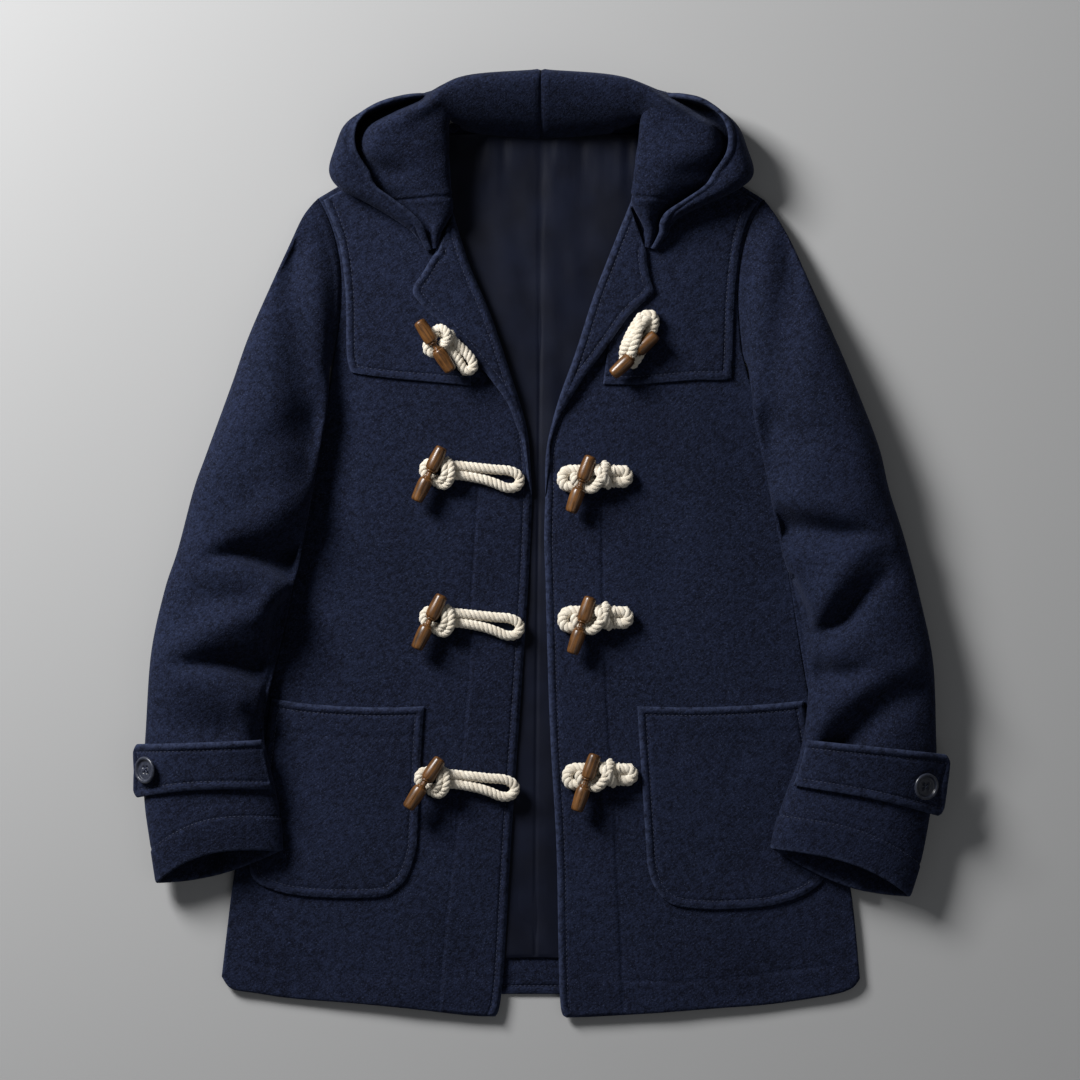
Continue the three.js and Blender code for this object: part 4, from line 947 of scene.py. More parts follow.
def makeSleeve(side):
    fine, last = sleeveSteps["untilRing"], len(sleeveRings[side]) - 1
    before, after, upperCount, underCount = (int(sleeveSteps[part] / fineness)
                                             for part in ("before", "after", "upper", "under"))
    rings = np.concatenate([np.linspace(0, fine, before), np.linspace(fine, last, after)[1:]])
    upperShares = (1 - np.cos(np.linspace(0, math.pi, upperCount + 1))) / 2
    underShares = (1 - np.cos(np.linspace(math.pi, 0, underCount + 1)[1:-1])) / 2
    columns = []
    for upper, shares in ((True, upperShares), (False, underShares)):
        ring, share = np.meshgrid(rings, shares, indexing="ij")
        columns.append(np.dstack(sleevePoint(side, upper, ring, share)))
    grid = np.concatenate(columns, axis=1)
    normal = tubeNormals(grid)
    if normal[len(rings) // 2, upperCount // 2, 2] < 0:
        normal = -normal
    flat = step(0, 1.6, rings)[:, None, None]
    tilt = np.where(np.arange(grid.shape[1])[None, :, None] <= upperCount, 1.0, -1.0) * np.array([0, 0, 1.0])
    normal = smoothed(mix(tilt, normal, flat), 2, True)
    toHem, fromSeam, around = fromEnd(grid, 0), fromStart(grid, 0), fromStart(grid, 1)
    seed, hem = 201 if side == "right" else 231, coat["cuffHem"]
    relief = stitchLine(np.abs(toHem - hem), around, seed, press=.8, pucker=.3)
    relief += .5 * step(hem + .5, hem - 1.5, toHem)
    relief += coat["welt"] * np.exp(-((fromSeam - 5) / 4) ** 2)   # beside the armhole seam
    half = halfThickness(toHem, coat["sleeve"])[..., None]
    outer = grid + normal * (half + relief[..., None] * step(0, 4, toHem)[..., None])
    inner = grid - normal * half
    outer[..., 2] = np.maximum(outer[..., 2], 0)
    shown = np.s_[::-1, 2:upperCount - 1]
    addRun(*(np.swapaxes(values[shown], 0, 1) for values in (outer, normal, toHem)), hem)
    points = np.concatenate([outer.reshape(-1, 3), inner.reshape(-1, 3)])
    faces = shellFaces(len(rings), grid.shape[1], wrap=True)
    count = (len(rings) - 1) * grid.shape[1]
    slots = np.zeros(len(faces))
    depth = toHem[np.arange(count) // grid.shape[1], 0]           # of each inner face, from the hem
    slots[count:2 * count] = (depth > coat["liningFrom"]) & (depth < coat["liningTo"])
    wearAndStrandShade = np.tile(np.exp(-(toHem / 3) ** 2).ravel(), 2)
    return meshPiece("sleeve_" + side + "_cloth", points, faces, [wool, lining], faceSlots=slots,
                     attributes={"wearAndStrandShade": wearAndStrandShade})


for side in ("right", "left"):
    body["sleeve_" + side] = makeSleeve(side)
print("stage: sleeves made")


def hoodPoint(side, line, along):
    plan = smoothValues(hoodLines[side], line)
    keys = [row[0] for row in hoodProfiles]
    table = np.array([row[1] for row in hoodProfiles], float)
    every = np.arange(len(hoodLines[side]))
    filled = np.array([[np.interp(every, keys, table[:, i, j]) for j in range(2)]
                       for i in range(table.shape[1])])
    steps = smoothValues(filled.transpose(2, 0, 1), line)
    position = along * (table.shape[1] - 1)
    last = table.shape[1] - 1
    i = np.clip(np.floor(position).astype(int), 0, last - 1)
    t = (position - i)[..., None]
    def pick(offset):
        index = np.clip(i + offset, 0, last)
        return np.take_along_axis(steps, index[..., None, None], axis=-2)[..., 0, :]
    place = curve(pick(-1), pick(0), pick(1), pick(2), t)
    out, height = place[..., 0], place[..., 1]
    x, y = mix(plan[..., 0], plan[..., 2], out), mix(plan[..., 1], plan[..., 3], out)
    rest = shoulderSupport(side, x, y) + coat["hood"] / 2
    return x, y, np.maximum(height, rest + np.where(rest > coat["hood"], .5, 0))


def shoulderSupport(side, x, y):
    it = sides[side]
    seam = it["shoulderSeam"] + [it["shoulder"]]
    reach = np.abs([p[0] for p in seam])
    seamY = np.interp(np.abs(x), reach, [p[1] for p in seam])
    top = np.where(np.abs(x) > 70, onYoke, onBack)
    return top * step(seamY + 14, seamY + 4, y)


def sheetNormals(grid):
    normal = np.cross(np.gradient(grid, axis=1), np.gradient(grid, axis=0))
    return normal / np.maximum(np.linalg.norm(normal, axis=-1, keepdims=True), 1e-9)


def makeHoodHalf(side, seed):
    rows = np.linspace(0, len(hoodLines[side]) - 1, int(172 / fineness))
    shares = np.linspace(0, 1, int(134 / fineness))
    line, along = np.meshgrid(rows, shares, indexing="ij")
    grid = np.dstack(hoodPoint(side, line, along))
    toRim, run = fromEnd(grid, 1), fromStart(grid, 0)
    normal = smoothed(sheetNormals(grid), 2, False)
    if normal[0, len(shares) // 2, 2] < 0:
        normal = -normal
    relief = stitchedEdge(toRim, run, seed, pad=.8, press=1.1)
    seamRun = np.array([np.interp(gussetLine, rows, run[:, k]) for k in range(len(shares))])
    seams = ((run, 1.0, 1), (np.abs(run - seamRun[None]), 1.1, step(.62, .5, along)))
    for gap, depth, share in seams:            # centre seam, and the seam of the inner side's lower part
        relief += (-depth * np.exp(-(gap / 1.5) ** 2) + .35 * np.exp(-((gap - 4.2) / 2.4) ** 2)) * share
    relief += softNoise(run, toRim, 26, seed + 3) * .35
    half = (halfThickness(toRim, coat["hood"]) + relief * step(0, 3, toRim))[..., None]
    outer, inner = grid + normal * half, grid - normal * half
    addRun(outer[:, ::-1], normal[:, ::-1], toRim[:, ::-1], coat["stitchInset"])
    outer, inner = (np.maximum(wall, (-np.inf, -np.inf, 0)) for wall in (outer, inner))
    return wallPiece("hood_" + side + "_cloth", outer, inner, np.exp(-(toRim / 3) ** 2), wool)


for side in ("right", "left"):
    body["hood_" + side] = makeHoodHalf(side, 251)
print("stage: hood made")

# Cuff straps: the sleeve's rings and share of width between which one lies, and its end beyond the sleeve
strapShape = {"length": 150, "width": 48, "corner": 7, "start": .96, "held": .8}
straps = {
    "right": {"from": 11.25, "to": 12.75, "turnShare": .05, "overhang": 17, "slope": 42},
    "left": {"from": 11.45, "to": 12.85, "turnShare": .09, "overhang": 24, "slope": 27},
}


def strapGrid(side, across, along):
    it, corner, held = straps[side], strapShape["corner"], strapShape["held"]
    toTip = (1 - along) * strapShape["length"]
    square = np.clip(corner ** 2 - np.clip(corner - toTip, 0, corner) ** 2, 0, corner ** 2)
    shorter = (corner - np.sqrt(square)) / (strapShape["width"] / 2)      # rounded corners at the tip
    across = .5 + (across - .5) * (1 - shorter)
    ring = mix(it["from"], it["to"], across)
    share = mix(strapShape["start"], it["turnShare"], np.minimum(along / held, 1))
    near = .02
    def at(moreRing, moreShare):
        return np.dstack(sleevePoint(side, True, ring + moreRing, share + moreShare, False))
    point, ahead, down = at(0, 0), at(0, near) - at(0, -near), at(near, 0) - at(-near, 0)
    normal = np.cross(ahead, down)
    normal /= np.linalg.norm(normal, axis=-1, keepdims=True)
    normal *= np.sign(normal[..., 2:3])
    point = point + normal * (coat["sleeve"] / 2 + coat["strapGap"] + coat["strap"] / 2)
    past = np.clip((along - held) / (1 - held), 0, 1) * it["overhang"]
    outward = -ahead * np.array([1, 1, 0])
    outward /= np.linalg.norm(outward, axis=-1, keepdims=True)
    point += outward * (past * math.cos(math.radians(it["slope"])))[..., None]
    point[..., 2] -= past * math.sin(math.radians(it["slope"]))
    return point


def makeStrap(side):
    across, along = sharesFor(strapShape["width"], 2.0), sharesFor(strapShape["length"], 2.2)
    v, u = np.meshgrid(across, along, indexing="ij")
    grid = strapGrid(side, v, u)
    grid[..., 2] += softNoise(grid[..., 0], grid[..., 1], 22, 271) * .5
    normal = smoothed(sheetNormals(grid), 3, False)
    normal *= np.sign(normal[len(across) // 2, len(along) // 2, 2])
    toRoot, lengthV = fromStart(grid, 1), fromStart(grid, 0)
    toSide, toTip = np.minimum(lengthV, lengthV[-1:] - lengthV), toRoot[:, -1:] - toRoot
    hem = np.minimum(toSide, toTip)
    rim = np.minimum(hem, toRoot)
    run = np.where(toTip < toSide, lengthV + 400, toRoot)         # puckers of the tip are its own
    relief = stitchedEdge(hem, run, 281)
    half = halfThickness(rim, coat["strap"])
    outer = grid + normal * (half + relief * step(0, 3, rim))[..., None]
    inner = grid - normal * half[..., None]
    inset = coat["stitchInset"]
    for turned, distance in ((lambda a: np.swapaxes(a, 0, 1), lengthV),
                             (lambda a: np.swapaxes(a[::-1], 0, 1), lengthV[-1:] - lengthV),
                             (lambda a: a[:, ::-1], toTip)):
        addRun(turned(outer), turned(normal), turned(distance), inset, turned(rim > inset - 1.5))
    return wallPiece("cuff_strap_" + side + "_cloth", outer, inner, np.exp(-(rim / 3) ** 2), wool)


for side in ("right", "left"):
    body["cuff_strap_" + side] = makeStrap(side)
print("stage: straps made")

# Closures, in the tables' millimetres: the toggle's ends, how far the rope lies above the front, and lines
# of rope with their heights in rope radii above the cloth
closures = {
    "right": [
        {"ends": [(-107, 203), (-77, 157)], "lift": 8.0, "ropes": [
            [(-86, 192, 1), (-79, 188, 1), (-72, 181.5, 1), (-64, 174, 1), (-58.5, 166.5, 1), (-58.5, 160, 1),
             (-64.5, 158, 1), (-69, 163.5, 1), (-72.5, 170.5, 1), (-78, 177, 1), (-86, 178, 1), (-94, 174, 1),
             (-99, 178, 1), (-97, 187, 1), (-92, 192.5, 1)],
            [(-93, 194, .9), (-87, 196.5, 2.1), (-81, 191.5, 2.8), (-82, 184.5, 2.7), (-88, 182.5, 1.7)],
            [(-97, 176, 1.7), (-91, 177, 1.3), (-84, 181, 2.4), (-79.5, 187, 2.6), (-77, 192.5, 1)]]},
        {"ends": [(-86, 89), (-109, 41)], "lift": 0},
        {"ends": [(-86, -44), (-109, -92)], "lift": 0},
        {"ends": [(-86, -189), (-118, -237)], "lift": 3.1},
    ],
    "left": [
        {"ends": [(108, 192), (66, 153)], "lift": 3.1, "ropes": [
            [(81, 168, 1), (78.5, 175, 1), (82, 186, 1), (89, 199, 1), (96, 207, 1), (103, 207.5, 1),
             (104.5, 201, 1), (101.5, 192, 1), (96, 182, 1), (90, 171, 1), (85, 164.5, 1)],
            [(77.5, 172, 1.2), (81, 181, 2.3), (89, 192, 2.7), (97, 203, 1.8), (103, 206, .9)],
            [(93, 208.5, .9), (91.5, 197, 2.5), (88, 184, 2.9), (84.5, 173, 2.3), (79.5, 168, 1.5),
             (76.5, 171.5, 1)]]},
        {"ends": [(48, 81), (30, 31)], "lift": 0},
        {"ends": [(48, -45), (31, -97)], "lift": 0},
        {"ends": [(52, -187), (35, -238)], "lift": 0},
    ],
}
# Ropes of the lower closures, from the toggle's waist: a sewn loop, then the ends that tie it
ropeShapes = {
    "right": [
        [(22, 8.2, .95), (45, 5.8, .95), (60, 4.2, .95), (71, 3.4, .95), (79, .2, .95), (81.8, -5, .95),
         (78.5, -11, .95), (70, -12.2, .95), (58, -7.6, .95), (45, -3.8, .95), (24, -.6, .95),
         (13, -4.4, .95), (4, -4.6, .95), (-2.6, -1.6, .95), (-4.8, 4.6, .95), (-1.4, 9.8, .95),
         (9, 10.4, .95)],
        [(14.5, 13.6, .8), (18.6, 9.6, 2.2), (20, 2.4, 2.85), (19, -4.6, 2.7), (14.6, -9.8, 1.8),
         (8.6, -9, 1.5), (2.6, -4.6, 1.75)],
        [(10.6, 11.8, 1.5), (14.4, 5.6, 2.75), (13.4, -2, 2.6), (9, -6.4, 1.7)],
    ],
    "left": [
        [(39, 12.2, .95), (30, 11.9, .95), (18, 12.1, .95), (6, 12.2, .95), (-6, 12.4, .95),
         (-13.2, 11.6, .95), (-16.6, 5.2, .95), (-13.6, -1.2, .95), (-6, -1.6, .95), (6, .4, .95),
         (18, 2.2, .95), (30, 2.5, .95), (39, 2.2, .95), (42.4, 7.2, .95)],
        [(-4.6, 9.6, 1.6), (-5.6, 4.6, 1.9), (-2.8, .2, 1.55), (4, -3.2, 1.6), (10.6, -3.8, 2.1),
         (16.4, 1.8, 2.75), (20, 9, 2.85), (21.8, 16, 1.6), (21.8, 18.4, .8)],
        [(14, 16.4, 1.2), (16.6, 11.4, 2.7), (22, 4.4, 2.75), (24.4, -2.2, 1.3)],
    ],
}
threadBand = [(30, -2.9, .5), (30, -.6, 1.5), (30, 2.4, 1.97), (30, 7.2, 1.5), (30, 12, 1.97),
              (30, 15.2, 1.5), (30, 17.6, .5)]
ropeRadius = {"right": 4.7, "left": 5.5}
toggleProfile = [(0, 2.6), (1.5, 2.6), (2.3, 3.3), (2.8, 4.5), (3.4, 4.7), (3.8, 4.4), (4.3, 5.1), (5.2, 5.8),
                 (7, 6.25), (10, 6.45), (14, 6.4), (18, 6.15), (22, 5.85), (24.4, 5.6), (25.8, 5.2),
                 (26.6, 4.4), (27.0, 3.2), (27.18, 1.7), (27.2, .02)]


def carried(direction):  # a normal carried along a line without twisting
    normals = np.zeros(direction.shape)
    start = np.cross(direction[0], (0, 0, 1.0))
    start = start if np.linalg.norm(start) > .1 else np.array([1.0, 0, 0])
    held = start / np.linalg.norm(start)
    for k in range(len(direction)):
        held = held - direction[k] * held.dot(direction[k])
        held /= np.linalg.norm(held)
        normals[k] = held
    return normals


def tangents(line, closed):
    if closed:
        d = np.roll(line, -1, axis=0) - np.roll(line, 1, axis=0)
    else:
        d = np.gradient(line, axis=0)
    return d / np.linalg.norm(d, axis=1, keepdims=True)


def leftoverTurn(direction, normals):  # what a closed line still lacks where it meets its start
    last = normals[-1] - direction[0] * normals[-1].dot(direction[0])
    return math.atan2(np.cross(last, normals[0]).dot(direction[0]), last.dot(normals[0]))


def tubeRings(line, radius, closed, around):
    d = tangents(line, closed)
    n = carried(d)
    if closed:
        twist = np.linspace(0, leftoverTurn(d, n), len(line), endpoint=False)[:, None]
        n = n * np.cos(twist) + np.cross(d, n) * np.sin(twist)
    b = np.cross(d, n)
    angle = np.linspace(0, 2 * math.pi, around, endpoint=False)[None, :, None]
    size = np.full((len(line), 1, 1), radius)
    if not closed:                             # soft ends
        size[[0, -1]] *= .25
        size[[1, -2]] *= .8
    return line[:, None] + size * (n[:, None] * np.cos(angle) + b[:, None] * np.sin(angle))


def tubeFaces(count, around, closed):
    rows = np.arange(count if closed else count - 1)
    i, j = np.meshgrid(rows, np.arange(around), indexing="ij")
    ahead, beside = (i + 1) % count, (j + 1) % around
    quads = np.stack([i * around + j, ahead * around + j, ahead * around + beside, i * around + beside],
                     axis=-1).reshape(-1, 4)
    if closed:
        return quads
    strip = np.array([(j, j + 1, around - 2 - j, around - 1 - j) for j in range(around // 2 - 1)])
    return np.concatenate([quads, strip[:, ::-1], strip + (count - 1) * around])


def makeCord(name, lines):  # three strands laid round each line of (points, closed, radius)
    points, faces, uvs, wearAndStrandShade, first = [], [], [], [], 0
    around, lay = 8, 13.0
    for line, closed, radius in lines:
        control = np.array(line + line[:1] if closed else line, float)
        length = lineLength(control)
        count = max(int(length / fineness), 12)
        middle = smoothLine(control, np.linspace(0, 1, count + 1))
        middle = middle[:-1] if closed else middle
        d = tangents(middle, closed)
        n = carried(d)
        extra = leftoverTurn(d, n) if closed else 0
        turns = max(round(length / lay), 1)
        share = np.arange(len(middle)) / len(middle)
        for strand in range(3):
            turn = 2 * math.pi * (share * turns + strand / 3) + extra * share
            across = n * np.cos(turn)[:, None] + np.cross(d, n) * np.sin(turn)[:, None]
            rings = tubeRings(middle + across * radius * .47, radius * .53, closed, around)
            reach = np.linalg.norm(rings - middle[:, None], axis=-1) / radius
            points.append(rings.reshape(-1, 3))
            local = tubeFaces(len(middle), around, closed)
            ring, turned = np.divmod(local, around)
            ring = np.where((ring[:, :1] == len(middle) - 1) & (ring == 0) & closed, len(middle), ring)
            turned = np.where((turned[:, :1] == around - 1) & (turned == 0), around, turned)
            uvs.append(np.dstack([ring * length / len(middle), turned * 1.6]))
            # painted shade: 1 where a strand's surface turns in towards the cord's middle, into the hollows,
            # 0 on its outside
            wearAndStrandShade.append(step(.74, .3, reach).ravel())
            faces.append(local + first)
            first += len(middle) * around
    return meshPiece(name, np.concatenate(points), np.concatenate(faces), [ropeCotton],
                     attributes={"wearAndStrandShade": np.concatenate(wearAndStrandShade)}, uvs=np.concatenate(uvs))


def closureLines(side, closure, k):
    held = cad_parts[f"toggle_{side}_{k}"]
    corners = np.array([held.matrix_world @ Vector(c) for c in held.bound_box]) * 1000
    axisZ = (corners[:, 2].min() + corners[:, 2].max()) / 2
    (x0, y0), (x1, y1) = closure["ends"]
    cx, cy = (x0 + x1) / 2, (y0 + y1) / 2
    radius = ropeRadius[side]
    shapes = closure.get("ropes")
    if not shapes:
        shapes = [[(cx + u, cy + v, h) for u, v, h in shape] for shape in ropeShapes[side]]
        if side == "left":
            shapes.append([(cx + u, cy + v, h) for u, v, h in threadBand])
    lines = []
    for index, shape in enumerate(shapes):
        line = []
        for x, y, h in shape:
            cloth = float(frontTop(side, np.array(x), np.array(y))) + closure["lift"] + coat["seam"]
            line.append((x, y, cloth + radius * h))
        lines.append((line, index == 0, radius * (1, .86, .86, .2)[index]))
    return lines, (cx, cy, axisZ)


def makeToggle(name, closure, centre, turn):
    profile = toggleProfile[::-1] + [(-a, r) for a, r in toggleProfile[1:]]
    profile = smoothValues(profile, np.linspace(0, len(profile) - 1, int(88 / fineness)))
    angle = np.linspace(0, 2 * math.pi, int(40 / fineness), endpoint=False)
    (x0, y0), (x1, y1) = closure["ends"]
    axis = np.array([x0 - x1, y0 - y1, 0.0])
    axis /= np.linalg.norm(axis)
    beside, up = np.array([-axis[1], axis[0], 0]), np.array([0, 0, 1.0])
    along, radius = profile[:, 0], np.abs(profile[:, 1])
    radius = np.maximum(radius + .1 * np.sin(np.abs(along) * 2.6) * step(9, 4.5, np.abs(along)), .02)
    ring = beside * np.cos(angle)[:, None] + up * np.sin(angle)[:, None]
    points = np.array(centre) + axis * along[:, None, None] + ring[None] * radius[:, None, None]
    grain = np.dstack([radius[:, None] * np.cos(angle), radius[:, None] * np.sin(angle),
                       np.repeat(along[:, None], len(angle), axis=1)]).reshape(-1, 3) * .001
    return meshPiece(name, points.reshape(-1, 3), tubeFaces(len(along), len(angle), False), [toggleWood],
                     attributes={"grain": grain + turn})


# Cuff buttons: radius and height of the turned disc, its place on the strap, and its four sewn holes
buttonProfile = [(.02, -1.5), (6, -1.5), (9.4, -1.2), (10.4, -.3), (10.6, .7), (10.2, 1.6), (9.4, 2.0),
                 (8.5, 1.7), (7.7, .2), (7.0, -.3), (4, -.25), (.02, -.25)]
buttonLift, buttonSize = 1.3, 1.14
buttonShift = {"right": (5.0, 3.0), "left": (-5.0, -3.5)}
buttonHoles = {"from": 2.3, "depth": 2.0, "thread": .55}


def makeButtonPiece(side):
    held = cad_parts["cuff_button_" + side]
    points = np.array([held.matrix_world @ v.co for v in held.data.vertices]) * 1000
    points += (coat["centreX"], coat["centreY"], 0)
    centre = (points.min(axis=0) + points.max(axis=0)) / 2
    normal = np.linalg.svd(points - points.mean(axis=0), full_matrices=False)[2][2]
    normal *= np.sign(normal[2])
    beside = np.cross((0, 1.0, 0), normal)
    beside /= np.linalg.norm(beside)
    ahead = np.cross(normal, beside)
    centre = centre + normal * buttonLift + beside * buttonShift[side][0] + ahead * buttonShift[side][1]
    profile = smoothValues(buttonProfile, np.linspace(0, len(buttonProfile) - 1, 56))
    angle = np.linspace(0, 2 * math.pi, 48, endpoint=False)
    ring = beside * np.cos(angle)[:, None] + ahead * np.sin(angle)[:, None]
    radius, height = np.abs(profile[:, 0] * buttonSize)[:, None, None], profile[:, 1][:, None, None]
    grid = centre + ring[None] * radius + normal * height
    u = (grid - centre) @ beside
    v = (grid - centre) @ ahead
    apart = buttonHoles["from"]                # the holes are pressed deep into the disc
    for su in (-1, 1):
        for sv in (-1, 1):
            gap = np.hypot(u - su * apart, v - sv * apart)
            pressed = buttonHoles["depth"] * step(1.6, .9, gap) * ((grid - centre) @ normal > -.3)
            grid -= normal * pressed[..., None]
    piece = meshPiece("cuff_button_" + side + "_horn", grid.reshape(-1, 3),
                      tubeFaces(len(profile), len(angle), False), [buttonHorn])
    lines = []
    for su in (-1, 1):                         # two threads that cross
        stops = ((-1, -1.2), (-.8, 0), (0, .4 + .35 * su), (.8, 0), (1, -1.2))
        lines.append([centre + beside * su * apart * a + ahead * a * apart + normal * h for a, h in stops])
    return piece, lines


buttonThreads = []
for number, side in enumerate(("right", "left")):
    for k, closure in enumerate(closures[side], 1):
        lines, centre = closureLines(side, closure, k)
        body[f"rope_{side}_{k}"] = makeCord(f"rope_{side}_{k}_cord", lines)
        body[f"toggle_{side}_{k}"] = makeToggle(f"toggle_{side}_{k}_wood", closure, centre,
                                                .37 * number + .071 * k)
    body["cuff_button_" + side], threads = makeButtonPiece(side)
    buttonThreads += threads
print("stage: closures made")

# Stitches: a short thread laid at every mark along the runs
stitchLook = {"pitch": 3.9, "length": 3.0, "thickness": .62, "sink": .12}


def makeStitchNodes():
    group = bpy.data.node_groups.new("sewnStitches", "GeometryNodeTree")
    face = group.interface
    face.new_socket(name="Geometry", in_out="INPUT", socket_type="NodeSocketGeometry")
    sockets = {label: face.new_socket(name=label, in_out="INPUT", socket_type=kind).identifier
               for label, kind in (("Length", "NodeSocketFloat"), ("Thickness", "NodeSocketFloat"),
                                   ("Thread", "NodeSocketMaterial"))}
    face.new_socket(name="Geometry", in_out="OUTPUT", socket_type="NodeSocketGeometry")
    start, end = group.nodes.new("NodeGroupInput"), group.nodes.new("NodeGroupOutput")
    heading = node(group, "GeometryNodeInputNamedAttribute", {"Name": "heading"}, data_type="FLOAT_VECTOR")
    lean = node(group, "GeometryNodeInputNamedAttribute", {"Name": "lean"}, data_type="FLOAT_VECTOR")
    turn = node(group, "FunctionNodeAlignRotationToVector", {"Vector": heading.outputs[0]}, axis="X")
    turn = node(group, "FunctionNodeAlignRotationToVector",
                {"Rotation": turn.outputs[0], "Vector": lean.outputs[0]}, axis="Z", pivot_axis="X")
    thread = node(group, "GeometryNodeMeshUVSphere", {"Segments": 6, "Rings": 4, "Radius": .5})
    size = node(group, "ShaderNodeCombineXYZ", {"X": start.outputs["Length"], "Y": start.outputs["Thickness"],
                                                "Z": start.outputs["Thickness"]})
    laid = node(group, "GeometryNodeInstanceOnPoints", {
        "Points": start.outputs["Geometry"], "Instance": thread.outputs["Mesh"],
        "Rotation": turn.outputs[0], "Scale": size.outputs[0]})
    real = node(group, "GeometryNodeRealizeInstances", {"Geometry": laid.outputs[0]})
    shown = node(group, "GeometryNodeSetMaterial", {"Geometry": real.outputs[0],
                                                    "Material": start.outputs["Thread"]})
    smooth = node(group, "GeometryNodeSetShadeSmooth", {"Geometry": shown.outputs[0]})
    group.links.new(smooth.outputs[0], end.inputs[0])
    return group, sockets


def makeStitches():
    places, headings, leans = [], [], []
    for line, lean in threadRuns:
        steps = np.linalg.norm(np.diff(line, axis=0), axis=1)
        for piece in np.split(np.arange(len(line)), np.nonzero(steps > 14)[0] + 1):
            if len(piece) < 4:                 # a run stops where another one crosses it
                continue
            part, along = line[piece], np.concatenate([[0], np.cumsum(steps[piece[:-1]])])
            marks = np.arange(stitchLook["pitch"] / 2, along[-1], stitchLook["pitch"] * round(fineness))
            def at(values, where):
                return np.stack([np.interp(where, along, values[:, k]) for k in range(3)], axis=-1)
            ahead = at(part, marks + 1) - at(part, marks - 1)
            up = at(lean[piece], marks)
            up /= np.linalg.norm(up, axis=1, keepdims=True)
            places.append(at(part, marks) + up * stitchLook["sink"])
            headings.append(ahead / np.maximum(np.linalg.norm(ahead, axis=1, keepdims=True), 1e-9))
            leans.append(up)
    places, headings, leans = (np.concatenate(v) for v in (places, headings, leans))
    mesh = bpy.data.meshes.new("stitchMarks")
    mesh.vertices.add(len(places))
    mesh.vertices.foreach_set("co", placed(places).astype(np.float32).ravel())
    for label, values in (("heading", headings), ("lean", leans)):
        mesh.attributes.new(label, "FLOAT_VECTOR", "POINT").data.foreach_set(
            "vector", values.astype(np.float32).ravel())
    marks = bpy.data.objects.new("stitchMarks", mesh)
    bpy.context.collection.objects.link(marks)
    group, sockets = makeStitchNodes()
    sewn = marks.modifiers.new("sewn", "NODES")
    sewn.node_group = group
    for label, value in (("Length", stitchLook["length"] * .001),
                         ("Thickness", stitchLook["thickness"] * .001), ("Thread", threadNavy)):
        sewn[sockets[label]] = value
    bpy.context.view_layer.update()
    real = bpy.data.meshes.new_from_object(marks.evaluated_get(bpy.context.evaluated_depsgraph_get()))
    real.name = "topstitching"
    if not real.materials:
        real.materials.append(threadNavy)
    bpy.data.objects.remove(marks)
    piece = bpy.data.objects.new("topstitching", real)
    bpy.context.collection.objects.link(piece)
    return piece, len(places)


def makeButtonThread():
    points, faces, first = [], [], 0
    for ends in buttonThreads:
        line = smoothLine(np.array(ends), np.linspace(0, 1, 15))
        rings = tubeRings(line, buttonHoles["thread"], False, 8)
        points.append(rings.reshape(-1, 3))
        faces.append(tubeFaces(len(line), 8, False) + first)
        first += len(line) * 8
    return meshPiece("button_thread", np.concatenate(points), np.concatenate(faces), [threadNavy])


topstitching, stitchCount = makeStitches()
buttonThread = makeButtonThread()
print("stage: stitches sewn,", stitchCount)

cutSizes = {  # cut of what shows of each piece: width, length and area in metres, before sewing
    "backPanel": (.60, .79, .375), "backLining": (.15, .75, .075),
    "front": (.25, .82, .165), "yoke": (.14, .24, .024), "lapel": (.045, .28, .0078),
    "pocket": (.165, .185, .0285), "sleeve": (.29, .62, .155), "hood": (.20, .26, .041),
    "strap": (.05, .155, .0075),
}
# Each cut of cloth: its size, how it is held, and what it lies on
sheetsOf = {
    "back": (cutSizes["backPanel"], "laid", ["floor"]),
    "lining": (cutSizes["backLining"], "laid", ["back"]),
}
for side in ("right", "left"):
    for label, below in (("front", ["back", "lining"]), ("yoke", ["front_" + side]),
                         ("pocket", ["front_" + side]), ("lapel", ["front_" + side, "yoke_" + side]),
                         ("sleeve", ["front_" + side]), ("hood", ["yoke_" + side]),
                         ("strap", ["sleeve_" + side])):
        key = ("cuff_strap_" if label == "strap" else label + "_") + side
        sheetsOf[key] = (cutSizes[label], "folded" if label in ("sleeve", "hood", "lapel") else "laid", below)


def halfSurface(piece):
    return sum(p.area for p in piece.data.polygons) / 2


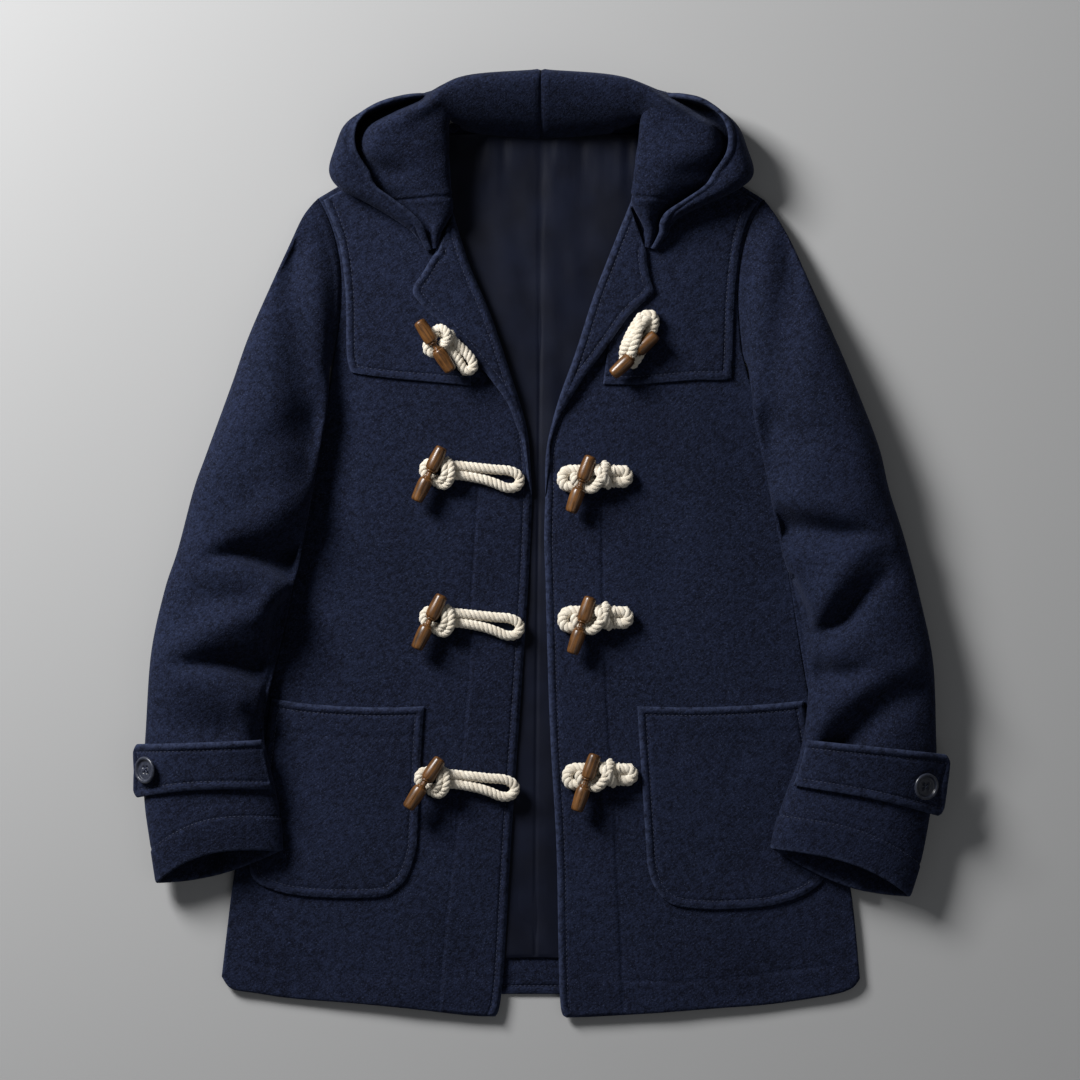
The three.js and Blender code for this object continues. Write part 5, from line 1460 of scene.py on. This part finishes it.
for key, (cut, held, below) in sheetsOf.items():
    print(f"sheet {key}: flat {cut[2]:.4f} m2, here {halfSurface(body[key]):.4f} m2")
replaced = {"back": ["back_panel"], "lining": ["back_lining"]}
for side in ("right", "left"):
    for label in ("front", "yoke", "pocket", "lapel", "cuff_strap", "cuff_button"):
        replaced[label + "_" + side] = [label + "_" + side]
    replaced["hood_" + side] = ["hood_" + side, "hood_gusset_" + side]
    replaced["sleeve_" + side] = ["sleeve_upper_" + side, "sleeve_under_" + side]
    for k in range(1, 5):
        for label in ("rope", "toggle"):
            replaced[f"{label}_{side}_{k}"] = [f"{label}_{side}_{k}"]
for key, piece in body.items():
    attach(piece, "root")
    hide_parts(*replaced[key])
for piece in (topstitching, buttonThread):
    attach(piece, "root")

# Camera straight above, as in the photograph: 0.9 mm of the coat's plane to a point of a 1080 frame
view = {"height": 6.0, "width": .972, "plane": .02, "x": -.00135, "y": .00425}
camera = bpy.data.objects.new("camera", bpy.data.cameras.new("camera"))
bpy.context.collection.objects.link(camera)
camera.location = (view["x"], view["y"], view["height"])
camera.data.sensor_width = 36
camera.data.lens = 36 * (view["height"] - view["plane"]) / view["width"]
bpy.context.scene.camera = camera


def areaLight(name, place, size, power):  # turned to the middle of the coat
    lamp = bpy.data.objects.new(name, bpy.data.lights.new(name, "AREA"))
    bpy.context.collection.objects.link(lamp)
    lamp.location = place
    lamp.rotation_euler = (-Vector(place)).to_track_quat("-Z", "Y").to_euler()
    lamp.data.size, lamp.data.energy = size, power


areaLight("keyLight", (-1.5, 1.4, 1.25), .8, 108)
areaLight("fillLight", (1.4, -1.0, 2.6), 2.4, 7)
world = bpy.data.worlds.new("studio")
world.use_nodes = True
world.node_tree.nodes["Background"].inputs[0].default_value = (.82, .86, .92, 1)
world.node_tree.nodes["Background"].inputs[1].default_value = .1
bpy.context.scene.world = world
bpy.context.scene.view_settings.view_transform = "Standard"

floorMesh = bpy.data.meshes.new("floor")
floorMesh.from_pydata([(x, y, -.0004) for x, y in ((-6, -6), (6, -6), (6, 6), (-6, 6))], [],
                      [(0, 1, 2, 3)])
floor = bpy.data.objects.new("floor", floorMesh)
bpy.context.collection.objects.link(floor)
floorMaterial, _, floorShader, _ = startMaterial("paleFloor")
floorShader.inputs["Base Color"].default_value = (.36, .36, .36, 1)
floorShader.inputs["Roughness"].default_value = .85
floorMesh.materials.append(floorMaterial)
print("stage: camera, lights and floor ready")
